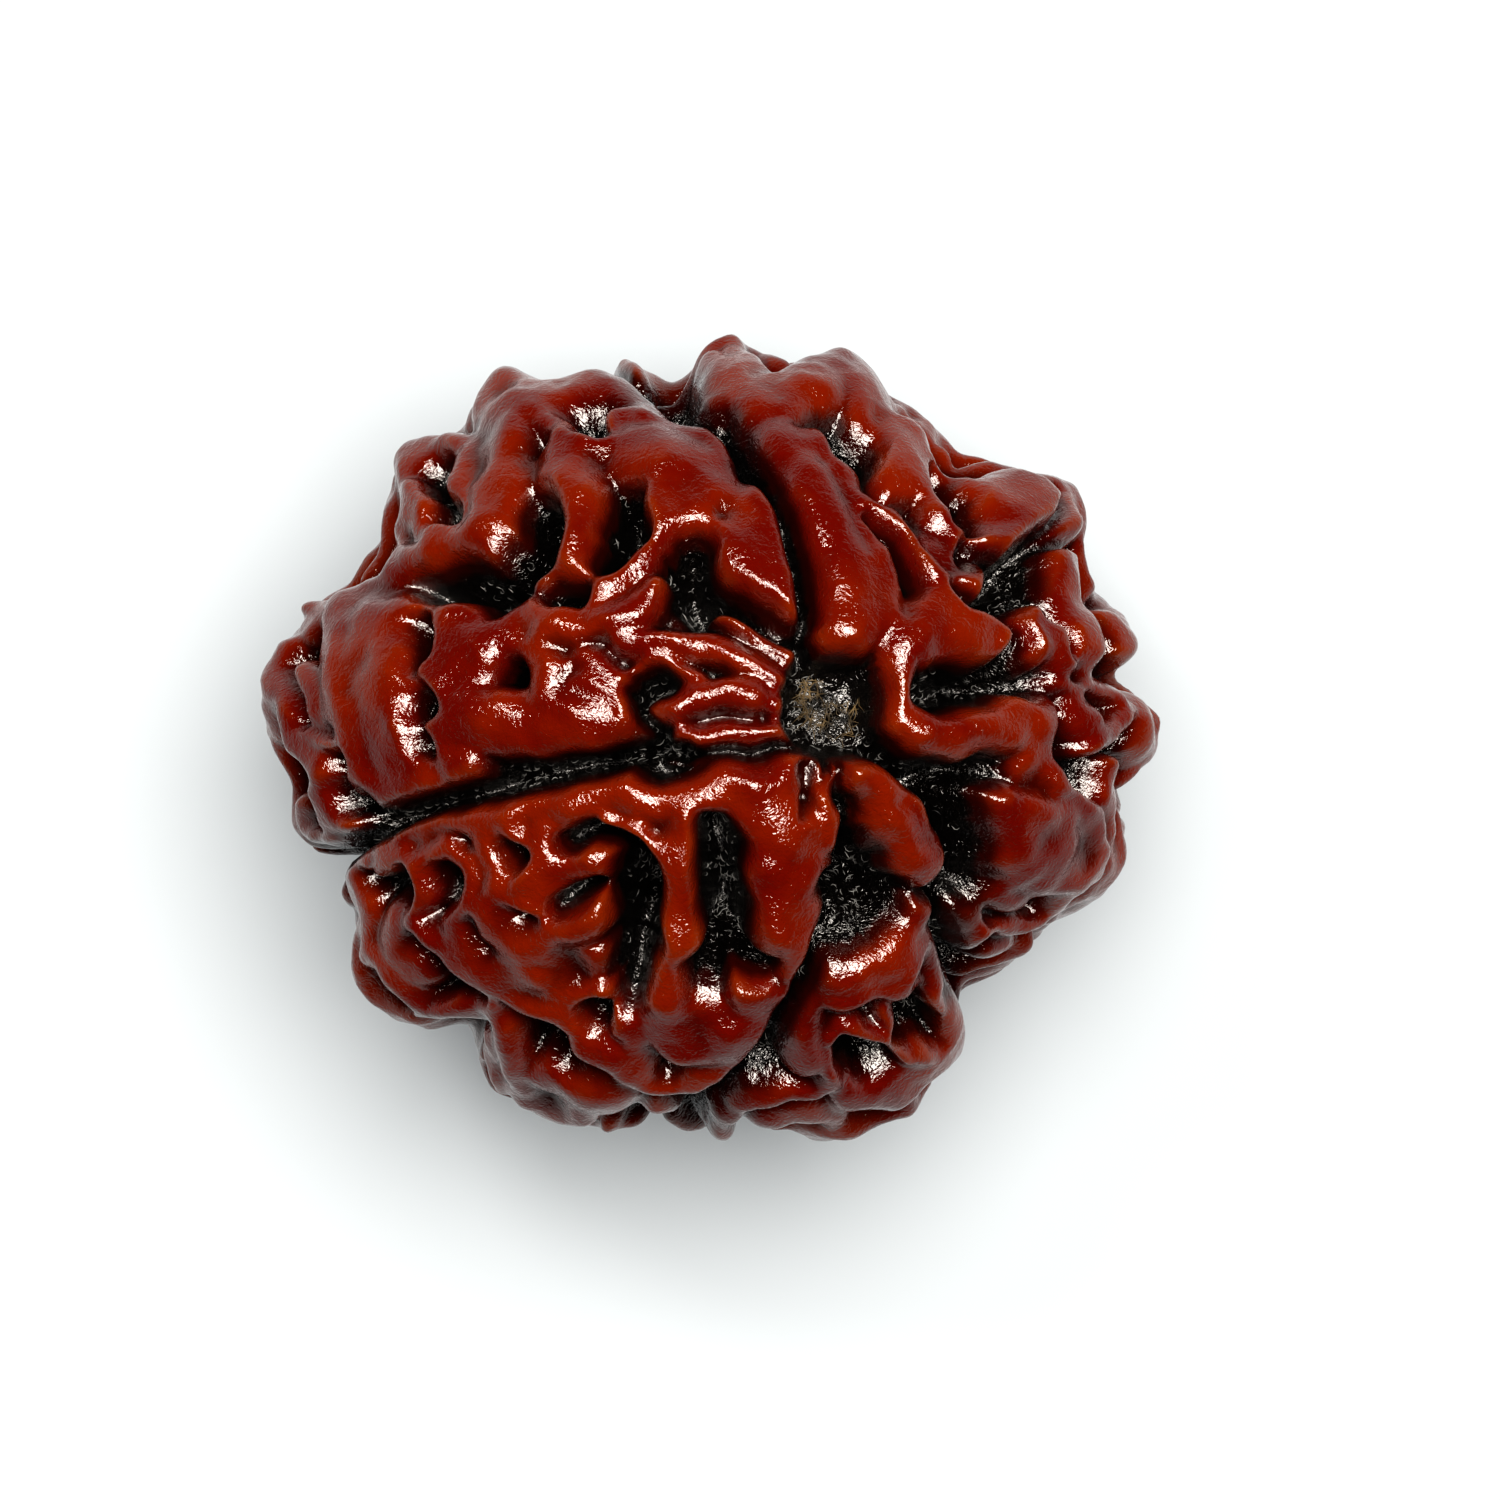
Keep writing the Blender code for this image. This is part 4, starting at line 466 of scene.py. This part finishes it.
def nearby(places, path, margin):
    """Which places lie inside the path's own box, grown by a margin."""
    low = path.min(axis=0) - margin
    high = path.max(axis=0) + margin
    return np.nonzero(np.all((places > low) & (places < high), axis=1))[0]


def path_distance(places, path):
    """Shortest distance from each place to a path of straight runs."""
    if len(path) == 1:
        return np.linalg.norm(places - path[0], axis=1)
    nearest = np.full(len(places), np.inf)
    for start, end in zip(path[:-1], path[1:]):
        run = end - start
        along = np.clip((places - start) @ run / (run @ run), 0.0, 1.0)
        gap = np.linalg.norm(places - start - along[:, None] * run, axis=1)
        nearest = np.minimum(nearest, gap)
    return nearest


def ridge_height(distance, half_width):
    """A rounded ridge's surface, from 0 on its crest down its steep sides."""
    reach = distance / (half_width * RIDGE_SPREAD)
    dome = np.clip(1.0 - reach**2, 0.0, None) ** RIDGE_FULLNESS
    foot = np.clip(reach - 1.0, 0.0, None)
    return RELIEF_DEPTH * (dome - 1.0) - 3.0 * foot


def dip(distance, half_width):
    """A smooth hollow, 1 at its middle and 0 away from it."""
    return np.exp(-((distance / half_width) ** 2))


def pit(distance, half_width):
    """A steep-sided hollow, 1 over its floor and 0 away from it."""
    return np.exp(-((distance / (1.1 * half_width)) ** 3))


def waves(places, wavelength, count, seed):
    """A seeded sum of plane waves, and the distance to the lines where it is nought."""
    draw = np.random.default_rng(seed)
    ways = unit(draw.normal(size=(count, 3))) * (2 * math.pi / wavelength)
    phases = draw.uniform(0.0, 2 * math.pi, count)
    angles = places @ ways.T + phases
    value = np.cos(angles).sum(axis=1)
    slope = -np.sin(angles) @ ways
    outward = unit(places)
    slope -= (slope * outward).sum(axis=1)[:, None] * outward
    steepness = np.linalg.norm(slope, axis=1) + 0.15 * math.sqrt(count) * 2 * math.pi / wavelength
    return value / math.sqrt(count), np.abs(value) / steepness


def wandered(places, wavelength, reach, seeds):
    """Places moved about a little, so that what is read there winds."""
    moves = [waves(places, wavelength, 16, seed)[0] for seed in seeds]
    return places + reach * np.column_stack(moves)


def stroke_places(places):
    """Where the drawn strokes are read, out of line a little so that no edge is ruled."""
    return as_seen(wandered(places, 1.25, EDGE_WANDER, (51, 52, 53)))


def lower_clefts():
    """The four clefts below the rim, each on a gently waved arc to the far end of the bead."""
    far_end = -on_upper_side([STALK_END])[0]
    paths = []
    for number, rim in enumerate(CLEFT_RIMS):
        start = unit(on_upper_side([rim])[0])
        end = unit(far_end)
        sideways = unit(np.cross(start, end))
        shares = np.linspace(0.0, 1.0, 16)
        turn = math.acos(float(start @ end))
        arc = [
            math.sin((1 - share) * turn) * start + math.sin(share * turn) * end
            for share in shares
        ]
        swing = 0.07 * np.sin(shares * math.pi * 3 + number)
        swing *= np.sin(shares * math.pi)
        directions = unit(unit(np.array(arc)) + swing[:, None] * sideways)
        paths.append(crest_points(directions, EVEN_RADIUS))
    return paths


def hidden_share(places):
    """0 on the upper side, 1 on the hidden side, with a soft change near the rim."""
    share = np.clip((RIM_TOP - places[:, 2]) / RIM_BAND, 0.0, 1.0)
    return share * share * (3 - 2 * share)


def build_ridges(places, seen):
    """Height of the ridges over and under the crest surface."""
    rough, _ = waves(places, 1.9, 24, seed=11)
    floor = -RELIEF_DEPTH + VALLEY_ROUGHNESS * rough
    total = np.exp(floor / RIDGE_BLEND)
    faces = UPPER_LEFT_RIDGES + UPPER_RIGHT_RIDGES + RIGHT_RIDGES
    faces = faces + LOWER_RIGHT_RIDGES + LOWER_LEFT_RIDGES
    for half_width, crest, points in faces:
        path = as_seen(on_upper_side(points))
        close = nearby(seen, path, 2.0 * half_width + 0.4)
        height = crest + ridge_height(path_distance(seen[close], path), half_width)
        total[close] += np.exp(height / RIDGE_BLEND)
    hidden = hidden_share(places)
    sway, _ = waves(places, 5.0, 12, seed=5)
    winding = wandered(places, 3.0, NET_WANDER, (31, 32, 33))
    for seed, wavelength, half_width in HIDDEN_NET:
        _, distance = waves(winding, wavelength, 14, seed)
        height = 0.12 * sway + ridge_height(distance, half_width + 0.07 * sway)
        total += np.exp((height - 3.0 * (1 - hidden)) / RIDGE_BLEND)
    foot = np.linalg.norm(places - np.array([0.0, 0.0, -HALF_HEIGHT]), axis=1)
    total += np.exp((0.2 + ridge_height(foot, FOOT_KNOB_RADIUS)) / RIDGE_BLEND)
    uneven, _ = waves(places, 1.5, 24, seed=12)
    return RIDGE_BLEND * np.log(total) + CREST_UNEVENNESS * uneven


def cut_hollows(places, seen, height):
    """Sink the pits, the clefts and the hollows at both ends."""
    for half_width, depth, points in PITS:
        path = as_seen(on_upper_side(points))
        close = nearby(seen, path, 3.0 * half_width)
        hollow = pit(path_distance(seen[close], path), half_width)
        height[close] -= PIT_DEEPENING * depth * hollow
    gap = path_distance(places, on_upper_side(STALK_HOLLOW))
    ragged, _ = waves(places, 1.3, 16, seed=41)
    hollow = np.exp(-((gap / (STALK_HOLLOW_REACH + 0.09 * ragged)) ** 6))
    height = height * (1.0 - hollow) - STALK_HOLLOW_DEPTH * hollow
    away_from_stalk = 1.0 - dip(gap, 3.2)
    slope = np.zeros(len(places))
    for half_width, points in CLEFTS:
        path = on_upper_side(points)
        gap = path_distance(places, path)
        slope = np.maximum(slope, dip(gap, CLEFT_SLOPE_REACH))
        height -= CLEFT_DEPTH * dip(gap, half_width) * (1.0 - hollow)
    height -= CLEFT_SLOPE * slope * away_from_stalk
    foot = np.linalg.norm(places - np.array([0.0, 0.0, -HALF_HEIGHT]), axis=1)
    clear_of_foot = np.clip(foot / FOOT_RADIUS - 1.0, 0.0, 1.0)
    slope = np.zeros(len(places))
    for path in lower_clefts():
        gap = path_distance(places, path)
        slope = np.maximum(slope, dip(gap, CLEFT_SLOPE_REACH))
        height -= CLEFT_DEPTH * dip(gap, LOWER_CLEFT_HALF_WIDTH) * clear_of_foot
    height -= CLEFT_SLOPE * slope * clear_of_foot
    far_end = -on_upper_side([STALK_END])[0]
    gap = np.linalg.norm(places - far_end, axis=1)
    height -= FAR_HOLLOW_DEPTH * dip(gap, FAR_HOLLOW_REACH) * clear_of_foot
    return height


def bead_surface(directions):
    """The bead's surface in each of the given directions, and its height over the crests."""
    places = crest_points(directions, EVEN_RADIUS)
    drawn = crest_points(directions, DRAWN_RADIUS)
    near_rim = np.exp(-((directions[:, 2] / 0.4) ** 2))[:, None]
    body = places + (drawn - places) * near_rim
    seen = stroke_places(places)
    height = cut_hollows(places, seen, build_ridges(places, seen))
    return body + directions * height[:, None], height


def add_wrinkles(points, directions, height):
    """Fine wrinkles all over, and a rough floor in the pits and valleys."""
    folds, _ = waves(points, FOLD_LENGTH, 32, seed=61)
    creases, _ = waves(points, CREASE_LENGTH, 40, seed=62)
    grit, _ = waves(points, GRIT_LENGTH, 40, seed=63)
    floor = np.clip((-height - PIT_GRIT_START) / PIT_GRIT_BAND, 0.0, 1.0)
    lift = FOLD_HEIGHT * folds + CREASE_HEIGHT * creases
    lift += (GRIT_HEIGHT + PIT_GRIT_HEIGHT * floor) * grit
    return points + directions * lift[:, None]


def read_points(mesh):
    """The mesh's vertices as rows of numbers."""
    flat = np.empty(len(mesh.vertices) * 3, dtype=np.float32)
    mesh.vertices.foreach_get("co", flat)
    return flat.reshape(-1, 3).astype(float)


def read_normals(mesh):
    """The mesh's vertex normals as rows of numbers."""
    flat = np.empty(len(mesh.vertices) * 3, dtype=np.float32)
    mesh.vertex_normals.foreach_get("vector", flat)
    return flat.reshape(-1, 3).astype(float)


def place_points(mesh, points):
    """Move the mesh's vertices to these places."""
    mesh.vertices.foreach_set("co", points.astype(np.float32).ravel())
    mesh.update()


def fit_to_part(points):
    """Flatten the foot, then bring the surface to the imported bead's own box."""
    sole = -HALF_HEIGHT + FOOT_RADIUS**2 / (2 * HALF_HEIGHT)
    points[:, 2] = np.maximum(points[:, 2], sole)
    low = points.min(axis=0)
    high = points.max(axis=0)
    return (points - low) * (HIGH - LOW) / (high - low) + LOW


def apply_modifier(piece, kind, **settings):
    """Add a modifier with these settings and apply it."""
    modifier = piece.modifiers.new(kind.lower(), kind)
    for name, value in settings.items():
        setattr(modifier, name, value)
    bpy.context.view_layer.objects.active = piece
    bpy.ops.object.modifier_apply(modifier=modifier.name)


def neighbour_mean(values, edges, counts):
    """Mean of each vertex's neighbours."""
    total = np.zeros_like(values)
    for axis in range(values.shape[1]):
        total[:, axis] += np.bincount(edges[:, 0], values[edges[:, 1], axis], len(values))
        total[:, axis] += np.bincount(edges[:, 1], values[edges[:, 0], axis], len(values))
    return total / counts[:, None]


def evened(values, edges, counts, rounds):
    """Values evened out over the surface, round by round."""
    for _ in range(rounds):
        values = 0.5 * values + 0.5 * neighbour_mean(values, edges, counts)
    return values


def store(mesh, name, values):
    """Keep one number for each vertex, for the finish to read."""
    layer = mesh.attributes.new(name, "FLOAT", "POINT")
    layer.data.foreach_set("value", values.astype(np.float32))


def store_shape_marks(mesh, height):
    """Mark how sunken each place is and how sharply it is rounded."""
    points = read_points(mesh) / MILLIMETRE
    normals = read_normals(mesh)
    flat = np.empty(len(mesh.edges) * 2, dtype=np.int32)
    mesh.edges.foreach_get("vertices", flat)
    edges = flat.reshape(-1, 2)
    counts = np.bincount(edges.ravel(), minlength=len(points)).astype(float)
    near = evened(points, edges, counts, NEAR_ROUNDS)
    wide = evened(near, edges, counts, WIDE_ROUNDS)
    edge = ((points - near) * normals).sum(axis=1)
    sunk = ((wide - points) * normals).sum(axis=1)
    store(mesh, "depth", np.clip(-height / 2.0, 0.0, 1.0))
    store(mesh, "sunk", sunk)
    store(mesh, "edge", evened(edge[:, None], edges, counts, 2)[:, 0])


def fine_bead():
    """The bead's fine surface, in place of the plain solid."""
    bpy.ops.object.select_all(action="DESELECT")
    bpy.ops.mesh.primitive_ico_sphere_add(subdivisions=SPHERE_SUBDIVISIONS, radius=1.0)
    bead = bpy.context.object
    bead.name = "seed_stone"
    directions = unit(read_points(bead.data))
    surface, height = bead_surface(directions)
    place_points(bead.data, surface)
    apply_modifier(bead, "SMOOTH", factor=0.5, iterations=SOFTENING_ROUNDS)
    points = add_wrinkles(read_points(bead.data), directions, height)
    place_points(bead.data, points)
    ratio = TRIANGLE_LIMIT / len(bead.data.polygons)
    apply_modifier(bead, "DECIMATE", ratio=ratio)
    points = read_points(bead.data)
    kept_height = bead_surface(unit(points))[1]
    place_points(bead.data, fit_to_part(points))
    bead.data.shade_smooth()
    store_shape_marks(bead.data, kept_height)
    bead.data.materials.append(oiled_seed_stone())
    return bead, kept_height


class Wire:
    """A value in a node tree that can be reckoned with as a number."""

    def __init__(self, nodes, socket):
        self.nodes = nodes
        self.socket = socket

    def reckon(self, operation, first, second):
        return self.nodes.node("ShaderNodeMath", {"operation": operation}, [first, second])

    def __add__(self, other):
        return self.reckon("ADD", self, other)

    def __radd__(self, other):
        return self.reckon("ADD", other, self)

    def __mul__(self, other):
        return self.reckon("MULTIPLY", self, other)

    def __rmul__(self, other):
        return self.reckon("MULTIPLY", other, self)

    def or_more(self, other):
        """The larger of two values."""
        return self.reckon("MAXIMUM", self, other)


class Nodes:
    """A node tree, and the ways to add to it."""

    def __init__(self, tree):
        self.tree = tree

    def node(self, kind, settings, values, output=0):
        """Add a node, set it up, feed its sockets and hand back one of its outputs."""
        made = self.tree.nodes.new(kind)
        for name, setting in settings.items():
            if name == "stops":
                self.set_stops(made.color_ramp, setting)
            else:
                setattr(made, name, setting)
        items = values.items() if isinstance(values, dict) else enumerate(values)
        for place, value in items:
            self.feed(made.inputs[place], value)
        return Wire(self, made.outputs[output])

    def set_stops(self, ramp, stops):
        """Place a ramp's two stops."""
        for element, (position, colour) in zip(ramp.elements, stops):
            element.position = position
            element.color = (*colour, 1.0)

    def feed(self, socket, value):
        """Link a socket to another node's output, or set its own value."""
        if isinstance(value, Wire):
            self.tree.links.new(value.socket, socket)
        else:
            socket.default_value = value


class Finish(Nodes):
    """A material, with the nodes that feed its shader."""

    def __init__(self, name):
        self.material = bpy.data.materials.new(name)
        self.material.use_nodes = True
        super().__init__(self.material.node_tree)
        self.shader = self.tree.nodes["Principled BSDF"]

    def set(self, **values):
        """Feed the shader's own sockets."""
        for name, value in values.items():
            self.feed(self.shader.inputs[name.replace("_", " ")], value)

    def mark(self, name):
        """A number kept on the mesh."""
        return self.node("ShaderNodeAttribute", {"attribute_name": name}, {}, "Fac")

    def place(self):
        """Where a point is on the object."""
        return self.node("ShaderNodeTexCoord", {}, {}, "Object")

    def noise(self, place, size_mm, detail=4.0, distortion=0.0):
        """Cloudy pattern whose patches are about this wide, from 0 to 1."""
        values = {"Vector": place, "Scale": 1000.0 / size_mm, "Detail": detail}
        values["Distortion"] = distortion
        return self.node("ShaderNodeTexNoise", {}, values, "Fac")

    def between(self, value, low, high):
        """0 below low, 1 above high, smooth between them."""
        settings = {"interpolation_type": "SMOOTHSTEP"}
        values = {"Value": value, "From Min": low, "From Max": high}
        return self.node("ShaderNodeMapRange", settings, values, "Result")

    def blend(self, share, first, second):
        """One colour turning into another."""
        settings = {"data_type": "RGBA", "clamp_factor": True}
        return self.node("ShaderNodeMix", settings, {0: share, 6: first, 7: second}, 2)


def oiled_seed_stone():
    """Deep red-brown stone, oiled and worn to a gloss, with painted shade in its hollows and on its
    flanks, and dirt and painted shade making its pits near black.
    """
    finish = Finish("oiled_seed_stone")
    place = finish.place()
    sunk = finish.mark("sunk")
    depth = finish.mark("depth")
    edge = finish.mark("edge")
    cloud = finish.noise(place, 3.0)
    streak = finish.noise(place, 0.7, 6.0, 1.2)

    red_brown = (0.108, 0.0092, 0.0002, 1.0)
    deep_red = (0.073, 0.0028, 0.0001, 1.0)
    orange_brown = (0.150, 0.028, 0.001, 1.0)
    # Colour of the painted shade in the hollows and down the flanks
    painted_shade_red = (0.010, 0.0003, 0.0001, 1.0)
    # Near black of the pit floors, dirt together with painted shade
    pit_dirt_and_painted_shade = (0.0016, 0.0010, 0.0008, 1.0)

    colour = finish.blend(finish.between(cloud, 0.38, 0.62), deep_red, red_brown)
    worn = finish.between(edge + 0.02 * streak, 0.030, 0.075)
    colour = finish.blend(worn * 0.35, colour, orange_brown)
    # Painted shade: the colour turns to a painted dark red in hollows and down the flanks towards
    # the valleys and pits
    painted_hollow_shade = finish.between(sunk + 0.08 * streak, -0.10, 0.26)
    shade = finish.between(depth + 0.12 * streak, 0.13, 0.38)
    colour = finish.blend(shade.or_more(painted_hollow_shade) * 0.92, colour, painted_shade_red)
    # Dirt and painted shade: the floors of the deep pits and clefts are painted near black
    hidden = finish.between(depth + 0.3 * streak, 0.48, 0.70)
    colour = finish.blend(hidden, colour, pit_dirt_and_painted_shade)
    finish.set(Base_Color=colour, Roughness=0.06 + 0.06 * hidden)
    finish.set(IOR=1.54, Specular_Tint=(1.0, 0.96, 0.93, 1.0))

    wrinkle = finish.noise(place, 0.36, 2.0, 2.4)
    fine = finish.noise(place, 0.15, 1.0, 1.6)
    relief = (wrinkle * 0.6 + fine * 0.4) * (1.0 + 1.5 * hidden)
    values = {"Strength": 1.0, "Distance": CRINKLE_HEIGHT * MILLIMETRE, "Height": relief}
    bump = finish.node("ShaderNodeBump", {}, values, "Normal")
    finish.set(Normal=bump)
    return finish.material


def fibre_finish(name, light, dark):
    """Dry plant fibre, paler and darker along its length."""
    finish = Finish(name)
    cloud = finish.noise(finish.place(), 0.5)
    colour = finish.blend(finish.between(cloud, 0.35, 0.65), dark, light)
    finish.set(Base_Color=colour, Roughness=0.55)
    return finish.material


def fibre_bundle(name, paths, thickness_mm, finish):
    """Many short fibres, swept along their own paths, in one piece."""
    curve = bpy.data.curves.new(name, "CURVE")
    curve.dimensions = "3D"
    curve.bevel_depth = thickness_mm / 2 * MILLIMETRE
    curve.bevel_resolution = 0
    curve.use_fill_caps = True
    for path in paths:
        spline = curve.splines.new("POLY")
        spline.points.add(len(path) - 1)
        taper = np.sin(np.linspace(FIBRE_TIP, math.pi - FIBRE_TIP, len(path)))
        rows = np.column_stack([path, np.ones(len(path))])
        spline.points.foreach_set("co", rows.astype(np.float32).ravel())
        spline.points.foreach_set("radius", taper.astype(np.float32))
    piece = bpy.data.objects.new(name, curve)
    bpy.context.collection.objects.link(piece)
    bpy.ops.object.select_all(action="DESELECT")
    piece.select_set(True)
    bpy.context.view_layer.objects.active = piece
    bpy.ops.object.convert(target="MESH")
    piece = bpy.context.object
    piece.data.shade_smooth()
    piece.data.materials.append(finish)
    return piece


def curled_path(draw, root, normal, length, lift):
    """A short curled run over the surface from its root."""
    side = unit(np.cross(normal, draw.normal(size=3)))
    across = np.cross(normal, side)
    bend = draw.uniform(-FIBRE_CURL, FIBRE_CURL)
    path = []
    for step in np.linspace(-0.5, 0.5, FIBRE_POINTS):
        rise = lift * (1.0 - (2 * step) ** 2) + FIBRE_CLEARANCE
        offset = side * step + across * bend * step**2
        path.append(root + (offset * length + normal * rise) * MILLIMETRE)
    return np.array(path)


def scattered_fibres(mesh, chosen, count, runs, lift, seed):
    """Short fibres strewn over the chosen vertices."""
    draw = np.random.default_rng(seed)
    points = read_points(mesh)
    normals = read_normals(mesh)
    roots = draw.choice(chosen, count)
    return [
        curled_path(draw, points[root], normals[root], draw.uniform(*runs), lift)
        for root in roots
    ]


def pit_fibres(mesh, height):
    """Grey remains of the fruit's fibre, caught in the pits and clefts."""
    light_grey = (0.16, 0.155, 0.146, 1.0)
    dark_grey = (0.006, 0.005, 0.005, 1.0)
    points = read_points(mesh) / MILLIMETRE
    gap = np.linalg.norm(points[:, :2] - np.array(STALK_END), axis=1)
    held = (height < -PIT_FIBRE_DEPTH) & (gap > STALK_CLEARANCE)
    chosen = np.nonzero(held)[0]
    runs = PIT_FIBRE_RUNS
    paths = scattered_fibres(mesh, chosen, PIT_FIBRE_COUNT, runs, PIT_FIBRE_LIFT, seed=71)
    finish = fibre_finish("dry_fibre", light_grey, dark_grey)
    return fibre_bundle("pit_fibres", paths, PIT_FIBRE_THICKNESS, finish)


def stalk_fibres(mesh):
    """Olive and straw fibres left where the stalk came away, thickest towards the lower left."""
    straw = (0.125, 0.080, 0.030, 1.0)
    dark_olive = (0.004, 0.003, 0.002, 1.0)
    thick_side = np.array([0.5, 0.6])
    points = read_points(mesh) / MILLIMETRE
    middle = np.array(STALK_END)
    gap = np.linalg.norm(points[:, :2] - middle, axis=1)
    lean = (middle - points[:, :2]) @ thick_side
    patches, _ = waves(points, 0.9, 16, seed=64)
    in_hollow = (gap < STALK_FIBRE_REACH) & (points[:, 2] > HALF_HEIGHT)
    held = in_hollow & (lean + 0.3 * patches > 0.05)
    chosen = np.nonzero(held)[0]
    runs = STALK_FIBRE_RUNS
    paths = scattered_fibres(mesh, chosen, STALK_FIBRE_COUNT, runs, STALK_FIBRE_LIFT, seed=72)
    finish = fibre_finish("stalk_fibre", straw, dark_olive)
    return fibre_bundle("stalk_fibres", paths, STALK_FIBRE_THICKNESS, finish)


def plain_floor():
    """A pale, matt surface to lie on."""
    bpy.ops.object.select_all(action="DESELECT")
    bpy.ops.mesh.primitive_plane_add(size=2.0, location=(0.0, 0.0, 0.0))
    floor = bpy.context.object
    floor.name = "floor"
    finish = Finish("pale_floor")
    finish.set(Base_Color=(0.188, 0.200, 0.210, 1.0), Roughness=0.6)
    finish.set(Emission_Color=(0.94, 0.98, 1.0, 1.0), Emission_Strength=0.19)
    floor.data.materials.append(finish.material)


def soft_light(name, place, size, power):
    """A round soft light that faces the bead."""
    light = bpy.data.lights.new(name, "AREA")
    light.shape = "DISK"
    light.size = size
    light.energy = power
    light.color = (1.0, 0.975, 0.93)
    lamp = bpy.data.objects.new(name, light)
    bpy.context.collection.objects.link(lamp)
    lamp.location = place
    lamp.rotation_euler = Vector(place).to_track_quat("Z", "Y").to_euler()
    lamp.visible_camera = False


def surroundings():
    """A dark room, paler low down all round the bead."""
    pale = (0.288, 0.297, 0.3)
    dark = (0.0, 0.0, 0.0)
    world = bpy.data.worlds.new("surroundings")
    world.use_nodes = True
    room = Nodes(world.node_tree)
    way = room.node("ShaderNodeTexCoord", {}, {}, "Generated")
    height = room.node("ShaderNodeSeparateXYZ", {}, [way], "Z")
    stops = [(0.03, pale), (0.15, dark)]
    glow = room.node("ShaderNodeValToRGB", {"stops": stops}, [height])
    room.feed(room.tree.nodes["Background"].inputs["Color"], glow)
    bpy.context.scene.world = world


def studio():
    """Soft light from overhead and from the upper left, in a dark room."""
    surroundings()
    view = bpy.context.scene.view_settings
    view.view_transform = "Standard"
    view.look = "High Contrast"
    soft_light("overhead", place=(0.06, 0.08, 0.49), size=0.36, power=6.0)
    soft_light("upper_left", place=(-0.16, 0.20, 0.40), size=0.10, power=0.75)


def camera_above():
    """A long lens, straight above, with the bead where the photograph has it."""
    image_pixels = 1500
    pixels_per_millimetre = 40.0
    bead_pixel = (711, 738)
    distance = 0.6
    frame_width = image_pixels / pixels_per_millimetre * MILLIMETRE
    right = (image_pixels / 2 - bead_pixel[0]) / pixels_per_millimetre * MILLIMETRE
    back = (bead_pixel[1] - image_pixels / 2) / pixels_per_millimetre * MILLIMETRE
    lens = bpy.data.cameras.new("camera")
    lens.type = "PERSP"
    lens.angle = 2 * math.atan(frame_width / 2 / distance)
    lens.clip_start = 0.01
    camera = bpy.data.objects.new("camera", lens)
    bpy.context.collection.objects.link(camera)
    middle = HALF_HEIGHT * MILLIMETRE
    camera.location = (right, back, middle + distance)
    bpy.context.scene.camera = camera


def mount(piece):
    """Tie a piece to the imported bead."""
    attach(piece, "root")
    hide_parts(NODE)


def main():
    camera_above()
    studio()
    plain_floor()
    bead, height = fine_bead()
    mount(bead)
    mount(pit_fibres(bead.data, height))
    mount(stalk_fibres(bead.data))


main()
